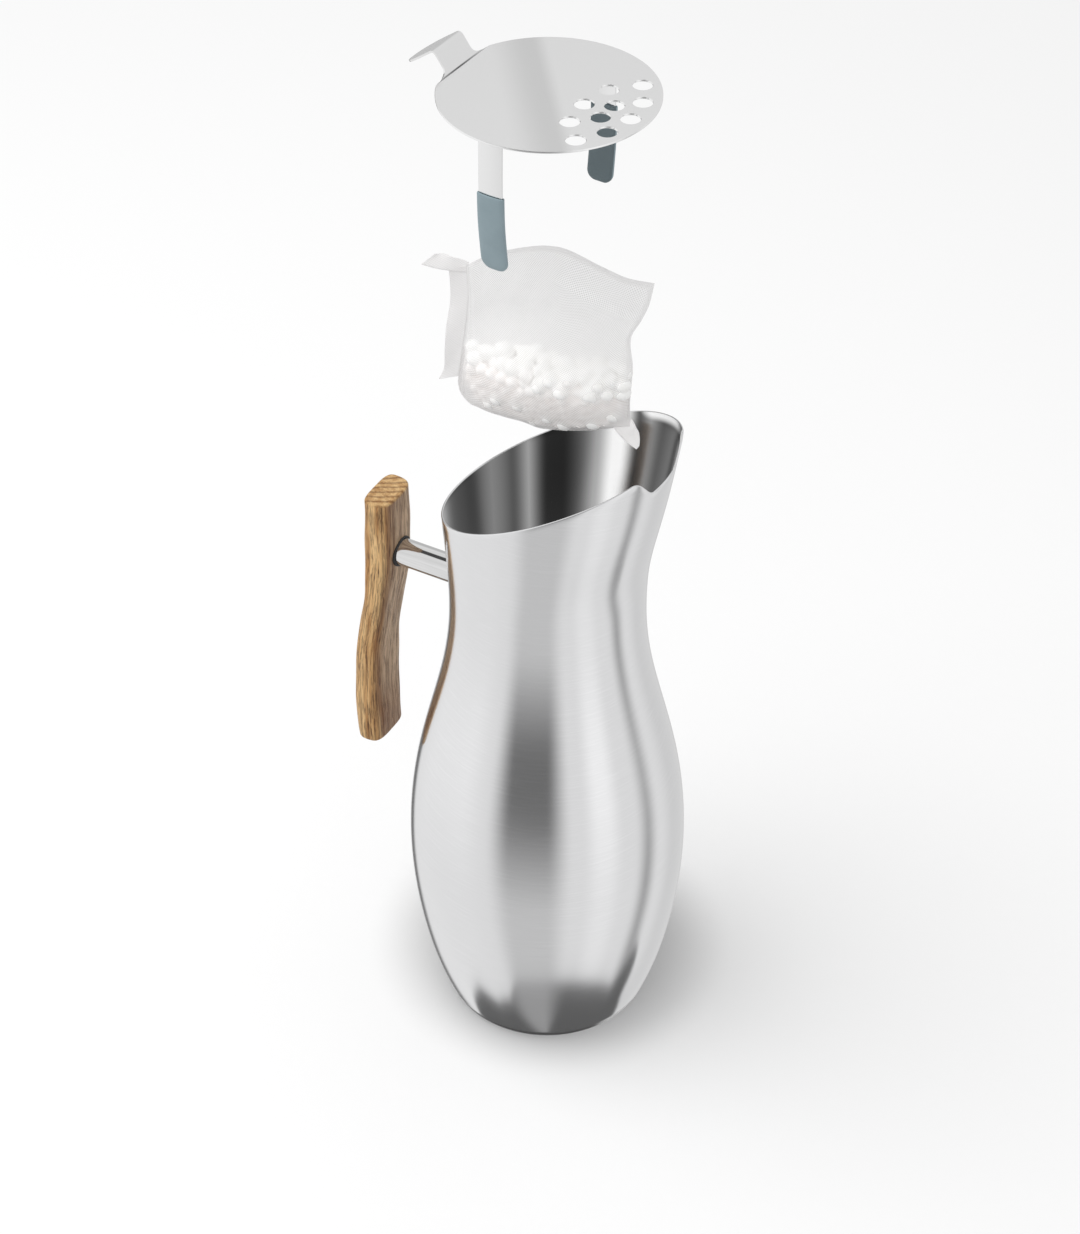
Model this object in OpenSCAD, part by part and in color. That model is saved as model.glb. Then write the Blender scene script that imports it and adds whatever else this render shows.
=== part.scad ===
// Water filter pitcher: a waisted steel jug with a cut and flared mouth, a flat
// wooden handle on a round post, a lift-off lid on two sprung legs, and a cloth
// pouch of ceramic beads that is dropped into the water.
// Millimetres. The origin is the middle of the base on the floor, Z is up, and
// X runs from the handle towards the spout. The lid and the pouch stand above
// the jug in the order in which they are lifted out of it.

/* [Body profile] */
// Radius of the base, where its wall would meet the floor
base_r = 42.9; // [40:0.1:46]
// Rounding of the edge between base and wall
base_corner = 3; // [2:0.1:5]
// Height of the foot, where the wall turns up
foot_z = 16; // [12:1:22]
// Radius at the foot
foot_r = 49.1; // [47:0.1:51]
// Height of the lower flank
flank_z = 52; // [44:1:58]
// Radius at the lower flank
flank_r = 55.8; // [53:0.1:57]
// Height of the widest place
belly_z = 77; // [68:1:88]
// Radius of the widest place
belly_r = 58.3; // [57.5:0.1:64]
// Height of the upper flank
shoulder_z = 111; // [102:1:120]
// Radius at the upper flank
shoulder_r = 56.8; // [54.5:0.1:57]
// Height of the steep shoulder
waist_z = 138; // [130:1:146]
// Radius at the steep shoulder
waist_r = 52.3; // [50:0.1:54]
// Height where the shoulder runs out into the neck
throat_z = 177; // [168:1:186]
// Radius where the shoulder runs out
throat_r = 42.9; // [41:0.1:46]
// Height of the narrowest place
neck_z = 218; // [206:1:226]
// Radius of the narrowest place
neck_r = 39.3; // [37.5:0.1:40.8]
// Height where the mouth has opened out
mouth_z = 266; // [258:1:276]
// Radius of the mouth, without its spout
mouth_r = 42.35; // [41.5:0.05:45]
// Thickness of the steel
wall = 0.8; // [0.6:0.05:1.2]

/* [Rim and spout] */
// Height of the rim on the handle side
rim_low_z = 253.5; // [251:0.5:262]
// Rise of the rim for each millimetre towards the spout
rim_slope = 0.515; // [0.35:0.005:0.6]
// Height where the wall starts to lean out into the spout
spout_z = 230; // [224:1:240]
// How far the front of the rim leans out
spout_reach = 10; // [5:0.5:14]
// Height above the start of the spout at which it has leaned out that far
spout_rise = 69; // [60:1:80]
// Depth of the pouring dip in the front of the rim
dip_depth = 11.2; // [5:0.2:14]
// Half width of the level bottom of the pouring dip
dip_flat = 7.5; // [5:0.5:10]
// Half width of the pouring dip at its shoulders
dip_half = 21; // [17:0.5:25]

/* [Handle] */
// Height of the middle of the round post
post_z = 210; // [204:1:216]
// Diameter of the round post
post_d = 11.5; // [10.5:0.1:13]
// Wall of the round post
post_wall = 1.2; // [1:0.1:1.5]
// How deep the post sits in the weld on the neck
weld_depth = 0.65; // [0.5:0.05:0.7]
// Distance from the middle of the jug to the middle of the upper grip
grip_reach = 74.1; // [70:0.1:82]
// Height of the top of the wooden handle
grip_top_z = 239; // [232:1:250]
// Length of the wooden handle
grip_len = 130.7; // [110:0.1:150]
// Width of the wooden handle
grip_w = 22.5; // [20:0.1:28]
// Thickness of the wooden handle
grip_t = 12; // [11:0.1:15]
// Rounding of the long edges of the handle
grip_round = 4.6; // [3:0.1:5]
// Rounding of the end edges of the handle
grip_end_round = 1.2; // [0.5:0.1:2]
// How far the lower grip stands out beyond the upper grip
grip_step = 8.4; // [4:0.1:12]
// Height where the step in the handle starts
step_top_z = 212; // [206:1:218]
// Height difference over which the handle steps out
step_len = 70; // [50:1:84]
// Thickness of the skin of wood left behind the threaded insert
insert_skin = 1.8; // [1.2:0.1:3]
// Depth to which the post is let into the wood
post_socket = 3.2; // [2:0.1:4]
// Outer radius of the gasket round the post
gasket_r = 6.6; // [6.4:0.1:9]
// Thickness of the gasket
gasket_t = 1.8; // [1.4:0.1:2.2]
// Depth of the seat of the gasket in the wood
gasket_seat = 1.2; // [0.8:0.1:1.3]
// Radius of the threaded stud
stud_r = 3; // [2.5:0.1:3.2]
// Length of the stud inside the plug of the post
stud_grip = 8; // [6:0.5:10]
// Length of the plug in the end of the post
plug_len = 11; // [10.5:0.5:14]
// Outer radius of the threaded insert
insert_r = 4.4; // [4.1:0.1:4.9]
// Thickness of the lock washer between plug and insert
washer_t = 0.5; // [0.4:0.1:0.8]

/* [Lid] */
// Height of the top of the lid when it lies in the neck
lid_seat_z = 248.6; // [248.2:0.1:249.6]
// How far the lid is lifted above its seat
lid_lift = 192.6; // [188:0.2:215]
// Angle by which the lid and its tab are turned from the line of the spout
lid_turn = -3.5; // [-12:0.5:12]
// Thickness of the sheet steel of the lid and its tab
lid_t = 0.8; // [0.6:0.05:1.1]
// Gap between the edge of the lid and the neck
lid_gap = 0.65; // [0.5:0.05:1.2]
// Diameter of the drain holes
hole_d = 7.3; // [5.5:0.1:7.8]
// Distance of the outer row of holes from the middle of the lid
hole_row_r = 33.3; // [31.5:0.1:34.2]
// Angle between neighbours in the outer row of holes
hole_row_step = 20.9; // [19.5:0.1:22]
// Distance between rows of holes along the lid
hole_pitch = 9.4; // [8.6:0.1:9.8]
// Distance of the straight side of the lid from its middle
chord_x = 36.2; // [35:0.1:36.5]
// Width of the riser of the thumb tab
tab_w = 18; // [14:0.5:24]
// Radius of the hollow fillets at the foot of the riser
tab_fillet = 4.5; // [2:0.5:5]
// Height of the fold above the lid
tab_rise = 8.8; // [8.4:0.1:11]
// How far the riser leans out
tab_lean = 5.2; // [4:0.1:5.4]
// How far the tongue reaches out beyond the fold
tab_reach = 14.4; // [10:0.1:20]
// Fall of the tongue for each millimetre of reach
tab_fall = 0.7; // [0.5:0.01:0.75]

/* [Sprung legs] */
// Width of the spring steel strip
leg_w = 9.8; // [8:0.1:10]
// Thickness of the spring steel strip
leg_t = 0.6; // [0.4:0.05:0.8]
// Length of a leg below the top of the lid, with its sleeve
leg_len = 53.8; // [45:0.1:60]
// Length of the foot that is welded under the lid
foot_len = 7; // [5:0.5:9]
// Length of the silicone sleeve
sleeve_len = 31.6; // [24:0.1:36]
// Width of the silicone sleeve
sleeve_w = 10.9; // [10.8:0.1:13]
// Thickness of the silicone sleeve
sleeve_t = 2; // [1.8:0.1:3]
// Thickness of silicone below the end of the strip
sleeve_end = 1.6; // [1:0.1:2.5]
// Rounding of the lower corners of the sleeve
sleeve_round = 4; // [2:0.1:4.5]
// Gap between a sleeve and the narrowest place of the neck
sleeve_gap = 0.3; // [0.25:0.05:0.8]

/* [Filter pouch] */
// Gap between the edge of the pouch and the narrowest place of the neck
pouch_gap = 1.3; // [1:0.1:3]
// Height of the cloth pouch
pouch_h = 73; // [60:1:76]
// Thickness of the pouch where the beads lie
pouch_t = 22; // [16:0.5:26]
// How far the right edge of the pouch hangs higher than its middle
pouch_lean = 6; // [0:0.5:8]
// Thickness of the cloth
cloth_t = 0.5; // [0.3:0.05:0.8]
// Width of the flat seam round the pouch
seam_w = 3; // [2:0.1:4]
// Height of the lower end of the left flange above the corner of the pouch
flange_up = 13; // [8:0.5:16]
// Length of the left flange
flange_len = 48; // [35:1:50]
// Width of the left flange at its upper end
flange_top_w = 6; // [4:0.5:8]
// Width of the left flange at its lower end
flange_low_w = 10; // [7:0.5:13]
// Length of the tail at the top of the flange
tail_len = 16; // [10:0.5:20]
// Width of the tail
tail_w = 5.6; // [4:0.2:8]
// Width of the flap at the lower right corner
flap_w = 6; // [4:0.5:9]
// Length of the flap at the lower right corner
flap_len = 5; // [3:0.5:8]
// Gap between the top of the pouch and the legs of the lid
pouch_under_legs = 9.7; // [5:0.1:16]
// Diameter of a ceramic bead
bead_d = 5.6; // [4.5:0.1:7]
// Gap between beads and between a bead and the cloth
bead_gap = 0.5; // [0.4:0.05:0.8]
// Share of the height of the pouch that the beads fill
bead_fill = 0.46; // [0.3:0.01:0.6]

/* [Fit] */
// Gap round a piece that is screwed or pressed into another
fit_gap = 0.05; // [0.03:0.01:0.1]
// Gap between the post and its socket in the wood
socket_gap = 0.15; // [0.1:0.01:0.25]

/* [Hidden] */
$fn = 64;

// Columns round the body, and rows up each face of its wall
wall_cols = 64;
wall_rows = 26;
// Columns and rows in each half of a sheet of the pouch
cloth_cols = 9;
cloth_rows = 11;

// The wall is a smooth curve through nine stations, each a height and a radius.
stations = [[0, base_r], [foot_z, foot_r], [flank_z, flank_r], [belly_z, belly_r],
            [shoulder_z, shoulder_r], [waist_z, waist_r], [throat_z, throat_r],
            [neck_z, neck_r], [mouth_z, mouth_r]];
last = len(stations) - 1;

function gap_z(k) = stations[k + 1][0] - stations[k][0];
function gap_r(k) = stations[k + 1][1] - stations[k][1];

// Slope of the curve at a station: level where the radius turns back.
function slope(k) =
    k == 0 ? gap_r(0) / gap_z(0) :
    k == last ? 0 :
    gap_r(k - 1) * gap_r(k) <= 0 ? 0 :
    (gap_r(k - 1) + gap_r(k)) / (gap_z(k - 1) + gap_z(k));

function station_below(z) = max([for (k = [0:last - 1]) if (stations[k][0] <= z || k == 0) k]);

// Cubic between station k and the next, at the share t of the way up.
function cubic(k, t) =
    (2 * t ^ 3 - 3 * t ^ 2 + 1) * stations[k][1]
    + (t ^ 3 - 2 * t ^ 2 + t) * gap_z(k) * slope(k)
    + (3 * t ^ 2 - 2 * t ^ 3) * stations[k + 1][1]
    + (t ^ 3 - t ^ 2) * gap_z(k) * slope(k + 1);

function profile(z) =
    z >= mouth_z ? mouth_r :
    let (k = station_below(z)) cubic(k, (z - stations[k][0]) / gap_z(k));

function smooth(t) = let (s = min(max(t, 0), 1)) 3 * s ^ 2 - 2 * s ^ 3;

// The spout: the wall leans out, gently at first, and most at the front.
lean_soft = 0.2;
function lean_share(t) = (1 + lean_soft) * t ^ 2 / (t + lean_soft);
function spout(a, z) =
    spout_reach * lean_share(max(0, (z - spout_z) / spout_rise)) * ((1 + cos(a)) / 2) ^ 2;
function body_r(a, z) = profile(z) + spout(a, z);

// The rim is cut by a sloping plane and dips at the front. Its height depends on
// the radius there and the radius on the height, so it is found by repetition.
function cut_z(a, r) =
    rim_low_z + rim_slope * (r * cos(a) + profile(rim_low_z))
    - dip(cos(a) > 0 ? abs(r * sin(a)) : dip_half);
function dip(y) = dip_depth * smooth((dip_half - y) / (dip_half - dip_flat));
function rim_z(a, z = mouth_z, n = 14) = n == 0 ? z : rim_z(a, cut_z(a, body_r(a, z)), n - 1);

// Handle: the middle of the wood moves out by one smooth step on the way down.
function grip_x(z) = -grip_reach - grip_step * smooth((step_top_z - z) / step_len);
grip_low_z = grip_top_z - grip_len;
wood_face_x = -grip_reach + grip_t / 2;
wood_back_x = -grip_reach - grip_t / 2;
post_r = post_d / 2;
post_start_x = -profile(post_z) + weld_depth;
post_end_x = wood_face_x - post_socket;
gasket_x = wood_face_x - gasket_seat;
insert_end_x = wood_back_x + insert_skin;
washer_end_x = post_end_x - washer_t;
plug_r = post_r - post_wall - fit_gap;

// Lid, legs and pouch at rest, lifted out of the jug.
lid_top_z = lid_seat_z + lid_lift;
lid_low_z = lid_top_z - lid_t;
lid_r = profile(lid_seat_z - lid_t) - wall - lid_gap;
sleeve_r = neck_r - wall - sleeve_gap;
strip_r = sleeve_r - (sleeve_t - leg_t) / 2;
leg_low_z = lid_top_z - leg_len;
sleeve_top_z = leg_low_z + sleeve_len;
strip_low_z = leg_low_z + sleeve_end;
fold_x = -chord_x - tab_lean;
fold_z = lid_top_z + tab_rise;

pouch_half_w = neck_r - wall - pouch_gap;
pouch_mid_z = leg_low_z - pouch_under_legs - pouch_lean - pouch_h / 2;
pouch_low_z = pouch_mid_z - pouch_h / 2 - pouch_lean;
bead_pitch = bead_d + bead_gap;
bead_row = bead_pitch * sqrt(3) / 2;
bead_layer = bead_pitch * sqrt(2 / 3);

// Faces of a grid of rings that is closed both ways, such as a wall with two sides.
function ring_faces(rings, n) =
    [for (k = [0:rings - 1]) for (i = [0:n - 1])
        let (a = k * n + i, b = k * n + (i + 1) % n,
             c = ((k + 1) % rings) * n + (i + 1) % n, d = ((k + 1) % rings) * n + i)
        for (f = [[a, b, c], [a, c, d]]) f];

// A solid from a stack of closed rings with a flat end at the first and last.
module loft(rings) {
    n = len(rings[0]);
    top = (len(rings) - 1) * n;
    sides = [for (k = [0:len(rings) - 2]) for (i = [0:n - 1])
        let (a = k * n + i, b = k * n + (i + 1) % n, c = b + n, d = a + n)
        for (f = [[a, c, b], [a, d, c]]) f];
    first_end = [for (i = [0:n - 1]) i];
    last_end = [for (i = [n - 1:-1:0]) top + i];
    polyhedron([for (ring = rings) for (p = ring) p], concat([first_end], sides, [last_end]));
}

// Body: one wall with an outer and an inner face, from the base edge to the rim.
function wall_point(i, s, inset) =
    let (a = i * 360 / wall_cols, top = rim_z(a), z = base_corner + (top - base_corner) * s,
         r = body_r(a, z) - inset)
    [r * cos(a), r * sin(a), z];

module body_shell() {
    outer = [for (j = [0:wall_rows]) for (i = [0:wall_cols - 1]) wall_point(i, j / wall_rows, 0)];
    inner = [for (j = [wall_rows:-1:0]) for (i = [0:wall_cols - 1])
        wall_point(i, j / wall_rows, wall)];
    color("silver")
        polyhedron(concat(outer, inner), ring_faces(2 * wall_rows + 2, wall_cols));
}

// Base: a shallow pan whose turned-up edge is welded to the wall.
module base_plate() {
    flat_r = profile(base_corner) - base_corner;
    in_corner = base_corner - wall;
    outside = [for (a = [0:15:90]) [flat_r + base_corner * sin(a), base_corner * (1 - cos(a))]];
    inside = [for (a = [90:-15:0]) [flat_r + in_corner * sin(a), base_corner - in_corner * cos(a)]];
    color("silver")
        rotate_extrude($fn = 96)
            polygon(concat([[0, 0]], outside, inside, [[0, wall]]));
}

// A round bar along X at the height of the post.
module post_bar(r, from_x, to_x) {
    translate([to_x, 0, post_z]) rotate([0, 90, 0]) cylinder(h = from_x - to_x, r = r);
}

module post_tube() {
    color("silver")
        difference() {
            post_bar(post_r, post_start_x, post_end_x);
            post_bar(post_r - post_wall, post_start_x + 1, post_end_x - 1);
        }
}

module post_plug() {
    color("gray")
        difference() {
            post_bar(plug_r, post_end_x + plug_len, post_end_x);
            post_bar(stud_r + fit_gap, post_end_x + stud_grip + 1, post_end_x - 1);
        }
}

module handle_stud() {
    color("dimgray") post_bar(stud_r, post_end_x + stud_grip, insert_end_x + 1);
}

module lock_washer() {
    color("dimgray")
        difference() {
            post_bar(insert_r, post_end_x, washer_end_x);
            post_bar(stud_r + fit_gap, post_end_x + 1, washer_end_x - 1);
        }
}

module thread_insert() {
    color("goldenrod")
        difference() {
            post_bar(insert_r, washer_end_x, insert_end_x);
            post_bar(stud_r + fit_gap, washer_end_x + 1, insert_end_x + 1 - fit_gap);
        }
}

module post_gasket() {
    color("darkslategray")
        difference() {
            post_bar(gasket_r, gasket_x + gasket_t, gasket_x);
            post_bar(post_r + fit_gap, gasket_x + gasket_t + 1, gasket_x - 1);
        }
}

// One level ring of the handle: a rectangle with round corners, drawn in by inset.
function grip_ring(z, inset) =
    let (w = grip_w / 2 - inset, t = grip_t / 2 - inset, c = max(grip_round - inset, 0.5))
    [for (q = [[1, 1, 0], [-1, 1, 90], [-1, -1, 180], [1, -1, 270]]) for (a = [0:18:90])
        [grip_x(z) + q[0] * (t - c) + c * cos(q[2] + a), q[1] * (w - c) + c * sin(q[2] + a), z]];

module wood_handle() {
    e = grip_end_round;
    low = [for (a = [0:30:90]) grip_ring(grip_low_z + e * (1 - cos(a)), e * (1 - sin(a)))];
    mid = [for (k = [1:27])
        grip_ring(grip_low_z + e + (grip_len - 2 * e) * k / 28, 0)];
    top = [for (a = [90:-30:0]) grip_ring(grip_top_z - e * (1 - cos(a)), e * (1 - sin(a)))];
    color("sienna")
        difference() {
            loft(concat(low, mid, top));
            post_bar(post_r + socket_gap, wood_face_x + 5, post_end_x);
            post_bar(gasket_r + socket_gap, wood_face_x + 5, gasket_x);
            post_bar(insert_r + fit_gap, wood_face_x + 5, insert_end_x);
        }
}

// Lid: a round sheet with one straight side and a fan of drain holes. The pair in
// the third row stands back and apart by these numbers of pitches.
fan_back = 1.78;
fan_apart = 1.37;
hole_places = concat(
    [for (k = [-2:2]) hole_row_r * [cos(k * hole_row_step), sin(k * hole_row_step)]],
    [for (s = [-1, 1]) [hole_row_r - hole_pitch, s * hole_pitch / 2]],
    [for (s = [-1, 1]) [hole_row_r - fan_back * hole_pitch, s * fan_apart * hole_pitch]],
    [[hole_row_r - 2 * hole_pitch, 0]]);

module lid_disc() {
    color("gainsboro") rotate([0, 0, lid_turn])
        difference() {
            translate([0, 0, lid_low_z]) cylinder(h = lid_t, r = lid_r, $fn = 96);
            translate([-chord_x - lid_r, -lid_r, lid_low_z - 1]) cube([lid_r, 2 * lid_r, lid_t + 2]);
            for (p = hole_places)
                translate([p[0], p[1], lid_low_z - 1]) cylinder(h = lid_t + 2, d = hole_d, $fn = 48);
        }
}

// Thumb tab: a plate bent once, welded to the straight side of the lid. Its side
// view is cut by its plan view, which has hollow fillets at the foot.
fold_ease = 0.4;
tip_x = fold_x - tab_reach;
tip_z = fold_z - tab_fall * tab_reach;
tab_drop = lid_t * sqrt(1 + tab_fall ^ 2);
riser_drop = lid_t * sqrt(1 + (tab_lean / tab_rise) ^ 2);

module tab_side_view() {
    translate([0, lid_r, 0]) rotate([90, 0, 0])
        linear_extrude(2 * lid_r)
            polygon([[-chord_x, lid_low_z], [-chord_x, lid_top_z], [fold_x, fold_z + fold_ease],
                     [tip_x, tip_z], [tip_x, tip_z - tab_drop],
                     [fold_x - fold_ease / 2, fold_z - tab_drop],
                     [fold_x + riser_drop, fold_z - tab_drop - fold_ease],
                     [-chord_x - riser_drop, lid_low_z]]);
}

module tab_plan_view() {
    foot = tab_w / 2 + tab_fillet;
    translate([0, 0, lid_low_z - tab_reach])
        linear_extrude(2 * tab_reach + tab_rise)
            union() {
                difference() {
                    translate([-chord_x - tab_fillet, -foot]) square([tab_fillet, 2 * foot]);
                    for (s = [-1, 1])
                        translate([-chord_x - tab_fillet, s * foot]) circle(r = tab_fillet);
                }
                translate([-chord_x - tab_reach, -tab_w / 2]) square([tab_reach, tab_w]);
                translate([tip_x + tab_w / 2, 0]) circle(r = tab_w / 2);
            }
}

module thumb_tab() {
    color("gainsboro") rotate([0, 0, lid_turn])
        intersection() {
            tab_side_view();
            tab_plan_view();
        }
}

// A bent block that follows the neck: part of a ring, w wide, between two heights.
module neck_strip(r, t, w, low, high) {
    half = asin(w / 2 / r);
    rotate([0, 0, 90 - half])
        rotate_extrude(angle = 2 * half, $fn = 180)
            translate([r - t, low]) square([t, high - low]);
}

// Leg on the left, seen from the handle: a strip with its end bent in under the lid.
module leg() {
    color("lightgray")
        union() {
            neck_strip(strip_r, leg_t, leg_w, strip_low_z, lid_low_z);
            neck_strip(strip_r, foot_len, leg_w, lid_low_z - leg_t, lid_low_z);
        }
}

// Sleeve: a sock of silicone round the end of the strip, with round lower corners.
module sleeve() {
    c = sleeve_round;
    color("slategray")
        difference() {
            intersection() {
                neck_strip(sleeve_r, sleeve_t, sleeve_w + 2, leg_low_z - 1, sleeve_top_z);
                translate([0, sleeve_r + 1, 0]) rotate([90, 0, 0])
                    linear_extrude(sleeve_t + 4)
                        union() {
                            translate([-sleeve_w / 2, leg_low_z + c])
                                square([sleeve_w, sleeve_len - c + 1]);
                            translate([-sleeve_w / 2 + c, leg_low_z]) square([sleeve_w - 2 * c, c + 1]);
                            for (s = [-1, 1])
                                translate([s * (sleeve_w / 2 - c), leg_low_z + c]) circle(r = c);
                        }
            }
            neck_strip(strip_r + fit_gap, leg_t + 2 * fit_gap, leg_w + 2 * fit_gap,
                       strip_low_z - fit_gap, sleeve_top_z + 1);
        }
}

module on_left() { rotate([0, 0, lid_turn]) children(); }
module on_right() { rotate([0, 0, lid_turn]) mirror([0, 1, 0]) children(); }

module spring_leg_left() { on_left() leg(); }
module spring_leg_right() { on_right() leg(); }
module silicone_sleeve_left() { on_left() sleeve(); }
module silicone_sleeve_right() { on_right() sleeve(); }

// Pouch: u runs across from -1 to 1 and v up from -1 to 1. The two sheets part
// most where the beads lie and close towards the empty top and the seams. Above
// the beads they stand apart by a small share of the gap, up to the height slack_v.
slack_share = 0.12;
slack_v = 0.6;
seam_u = 1 - seam_w / pouch_half_w;
seam_v = 1 - 2 * seam_w / pouch_h;
fill_v = -1 + 2 * bead_fill;

function across(u) = abs(u) >= seam_u ? 0 : (1 - (u / seam_u) ^ 2) ^ 0.6;
function up(v) =
    abs(v) >= seam_v ? 0 :
    v < 0.5 * (fill_v - seam_v)
        ? sqrt(smooth((v + seam_v) / (0.5 * (fill_v + seam_v))))
        : slack_share * (1 - smooth((v - slack_v) / (seam_v - slack_v)))
          + (1 - slack_share) * (1 - smooth((v - 0.5 * (fill_v - seam_v)) / (0.75 * (fill_v + seam_v))));
function half_gap(u, v) = (pouch_t / 2 - cloth_t) * across(u) * up(v);
function pouch_x(u) = pouch_half_w * u;
function pouch_z(u, v) = pouch_mid_z + pouch_h / 2 * v + pouch_lean * u;

cloth_u = concat([-1], [for (k = [-cloth_cols:cloth_cols]) seam_u * k / cloth_cols], [1]);
cloth_v = concat([-1], [for (k = [-cloth_rows:cloth_rows]) seam_v * k / cloth_rows], [1]);

// One level ring of a sheet: the outer face one way and the inner face back.
function sheet_ring(v, side) = concat(
    [for (u = cloth_u) [pouch_x(u), side * (half_gap(u, v) + cloth_t), pouch_z(u, v)]],
    [for (k = [len(cloth_u) - 1:-1:0]) let (u = cloth_u[k])
        [pouch_x(u), side * half_gap(u, v), pouch_z(u, v)]]);

module sheet() { loft([for (v = cloth_v) sheet_ring(v, 1)]); }

module pouch_back_sheet() { color("mistyrose") sheet(); }
module pouch_front_sheet() { color("mistyrose") mirror([0, 1, 0]) sheet(); }

// A flat piece of doubled cloth in the plane of the seams.
module seam_cloth(outline) {
    translate([0, cloth_t, 0]) rotate([90, 0, 0]) linear_extrude(2 * cloth_t) polygon(outline);
}

// Flange: the spare cloth of the left seam, wider at its lower end.
flange_low_z = pouch_z(-1, -1) + flange_up;
flange_top_z = flange_low_z + flange_len;

module pouch_side_flange() {
    color("seashell")
        seam_cloth([[-pouch_half_w, flange_low_z],
                    [-pouch_half_w, flange_top_z],
                    [-pouch_half_w - flange_top_w, flange_top_z],
                    [-pouch_half_w - flange_top_w, (flange_low_z + flange_top_z) / 2],
                    [-pouch_half_w - flange_low_w, flange_low_z - flange_low_w / 3]]);
}

// Tail: the end of the flange's cloth, which sticks out sideways at its top.
module pouch_tail() {
    color("seashell")
        seam_cloth([[-pouch_half_w, flange_top_z],
                    [-pouch_half_w - tail_len, flange_top_z],
                    [-pouch_half_w - tail_len + tail_w, flange_top_z + tail_w],
                    [-pouch_half_w, flange_top_z + tail_w]]);
}

// Flap: the corner of the seam at the lower right, which hangs down.
module pouch_corner_flap() {
    inner_u = 1 - flap_w / pouch_half_w;
    color("seashell")
        seam_cloth([[pouch_x(inner_u), pouch_z(inner_u, -1)],
                    [pouch_x(1), pouch_z(1, -1)],
                    [pouch_x(1) + flap_w / 4, pouch_z(1, -1) - flap_len],
                    [pouch_x(inner_u), pouch_z(inner_u, -1) - flap_len / 2]]);
}

// Beads: balls in close packing wherever one fits between the sheets. The gap is
// read on the sheets' flat faces, at points on rings round the ball, from its
// pole, where k is 0, to its equator.
function corner_gap(i, j) = half_gap(seam_u * i / cloth_cols, seam_v * j / cloth_rows);
function face_gap(u, v) =
    let (x = u / seam_u * cloth_cols, y = v / seam_v * cloth_rows, i = floor(x), j = floor(y),
         p = x - i, q = y - j)
    (1 - q) * ((1 - p) * corner_gap(i, j) + p * corner_gap(i + 1, j))
    + q * ((1 - p) * corner_gap(i, j + 1) + p * corner_gap(i + 1, j + 1));
function bead_room(u, v, k) =
    let (du = k * bead_d / 2 / pouch_half_w, dv = k * bead_d / pouch_h)
    min([for (a = [0:45:315]) face_gap(u + du * cos(a), v + dv * sin(a))])
    - bead_d / 2 * sqrt(1 - k ^ 2);
function bead_fits(x, y, z) =
    let (u = x / pouch_half_w, v = (z - pouch_mid_z - pouch_lean * u) * 2 / pouch_h)
    v + bead_d / pouch_h < fill_v
    && min([for (k = [0, 0.4, 0.7, 0.9, 1]) bead_room(u, v, k)]) > abs(y) + bead_gap;

module ceramic_beads() {
    rows = ceil(pouch_h / bead_row);
    cols = ceil(pouch_half_w / bead_pitch);
    color("white")
        for (layer = [-1:1]) for (row = [0:rows]) for (col = [-cols:cols]) {
            x = (col + (row % 2 == 0 ? 0 : 0.5)) * bead_pitch;
            y = layer * bead_layer;
            z = pouch_low_z + bead_d + row * bead_row + (layer == 0 ? 0 : bead_row * 2 / 3);
            if (bead_fits(x, y, z)) translate([x, y, z]) sphere(d = bead_d, $fn = 24);
        }
}

body_shell();
base_plate();
post_tube();
post_plug();
handle_stud();
lock_washer();
thread_insert();
post_gasket();
wood_handle();
lid_disc();
thumb_tab();
spring_leg_left();
spring_leg_right();
silicone_sleeve_left();
silicone_sleeve_right();
pouch_front_sheet();
pouch_back_sheet();
pouch_side_flange();
pouch_tail();
pouch_corner_flap();
ceramic_beads();
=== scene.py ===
# %% [markdown]
# # A water filter pitcher, made from surfaces
# A waisted steel jug with a wooden handle stands on the floor. Its filter pouch
# and its lid hang above it, in the order in which they are lifted out.
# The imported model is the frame: it says where each piece goes and how it moves.
# This lesson gives that frame its finished look, one piece at a time.

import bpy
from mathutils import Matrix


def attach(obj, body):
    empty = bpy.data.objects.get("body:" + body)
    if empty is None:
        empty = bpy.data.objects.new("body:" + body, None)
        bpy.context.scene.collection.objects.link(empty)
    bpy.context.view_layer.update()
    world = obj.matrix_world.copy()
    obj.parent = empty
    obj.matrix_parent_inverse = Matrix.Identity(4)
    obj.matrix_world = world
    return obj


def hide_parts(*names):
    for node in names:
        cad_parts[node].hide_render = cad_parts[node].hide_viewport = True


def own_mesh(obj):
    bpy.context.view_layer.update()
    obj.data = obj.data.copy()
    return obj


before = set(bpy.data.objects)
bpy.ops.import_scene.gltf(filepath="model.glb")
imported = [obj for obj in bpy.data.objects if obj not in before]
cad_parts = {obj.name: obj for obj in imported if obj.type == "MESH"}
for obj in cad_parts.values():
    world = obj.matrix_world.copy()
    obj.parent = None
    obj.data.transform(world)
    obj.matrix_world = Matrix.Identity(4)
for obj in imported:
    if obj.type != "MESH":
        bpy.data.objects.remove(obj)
print("nodes in the frame:", len(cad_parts))

# %% Tools, and the size that the finished model has to keep
import math
import bmesh
import bpy
import numpy as np
from mathutils import Vector

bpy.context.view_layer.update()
MM = 0.001

# %% [markdown]
# ## The camera
# The picture is taken from 40 degrees above, 29 degrees round from the side of
# the jug, with a long lens, so upright lines draw together only a little. The
# lens is given by its focal length in pixels of a picture 1080 pixels wide.

# %% Camera
EYE = Vector((430.73, -783.46, 950.65)) * MM
SIGHT = Vector((-0.3718, 0.6707, -0.6418))
FOCAL_PIXELS = 2900
PICTURE_WIDTH = 1080
FILM_WIDTH = 36

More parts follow.
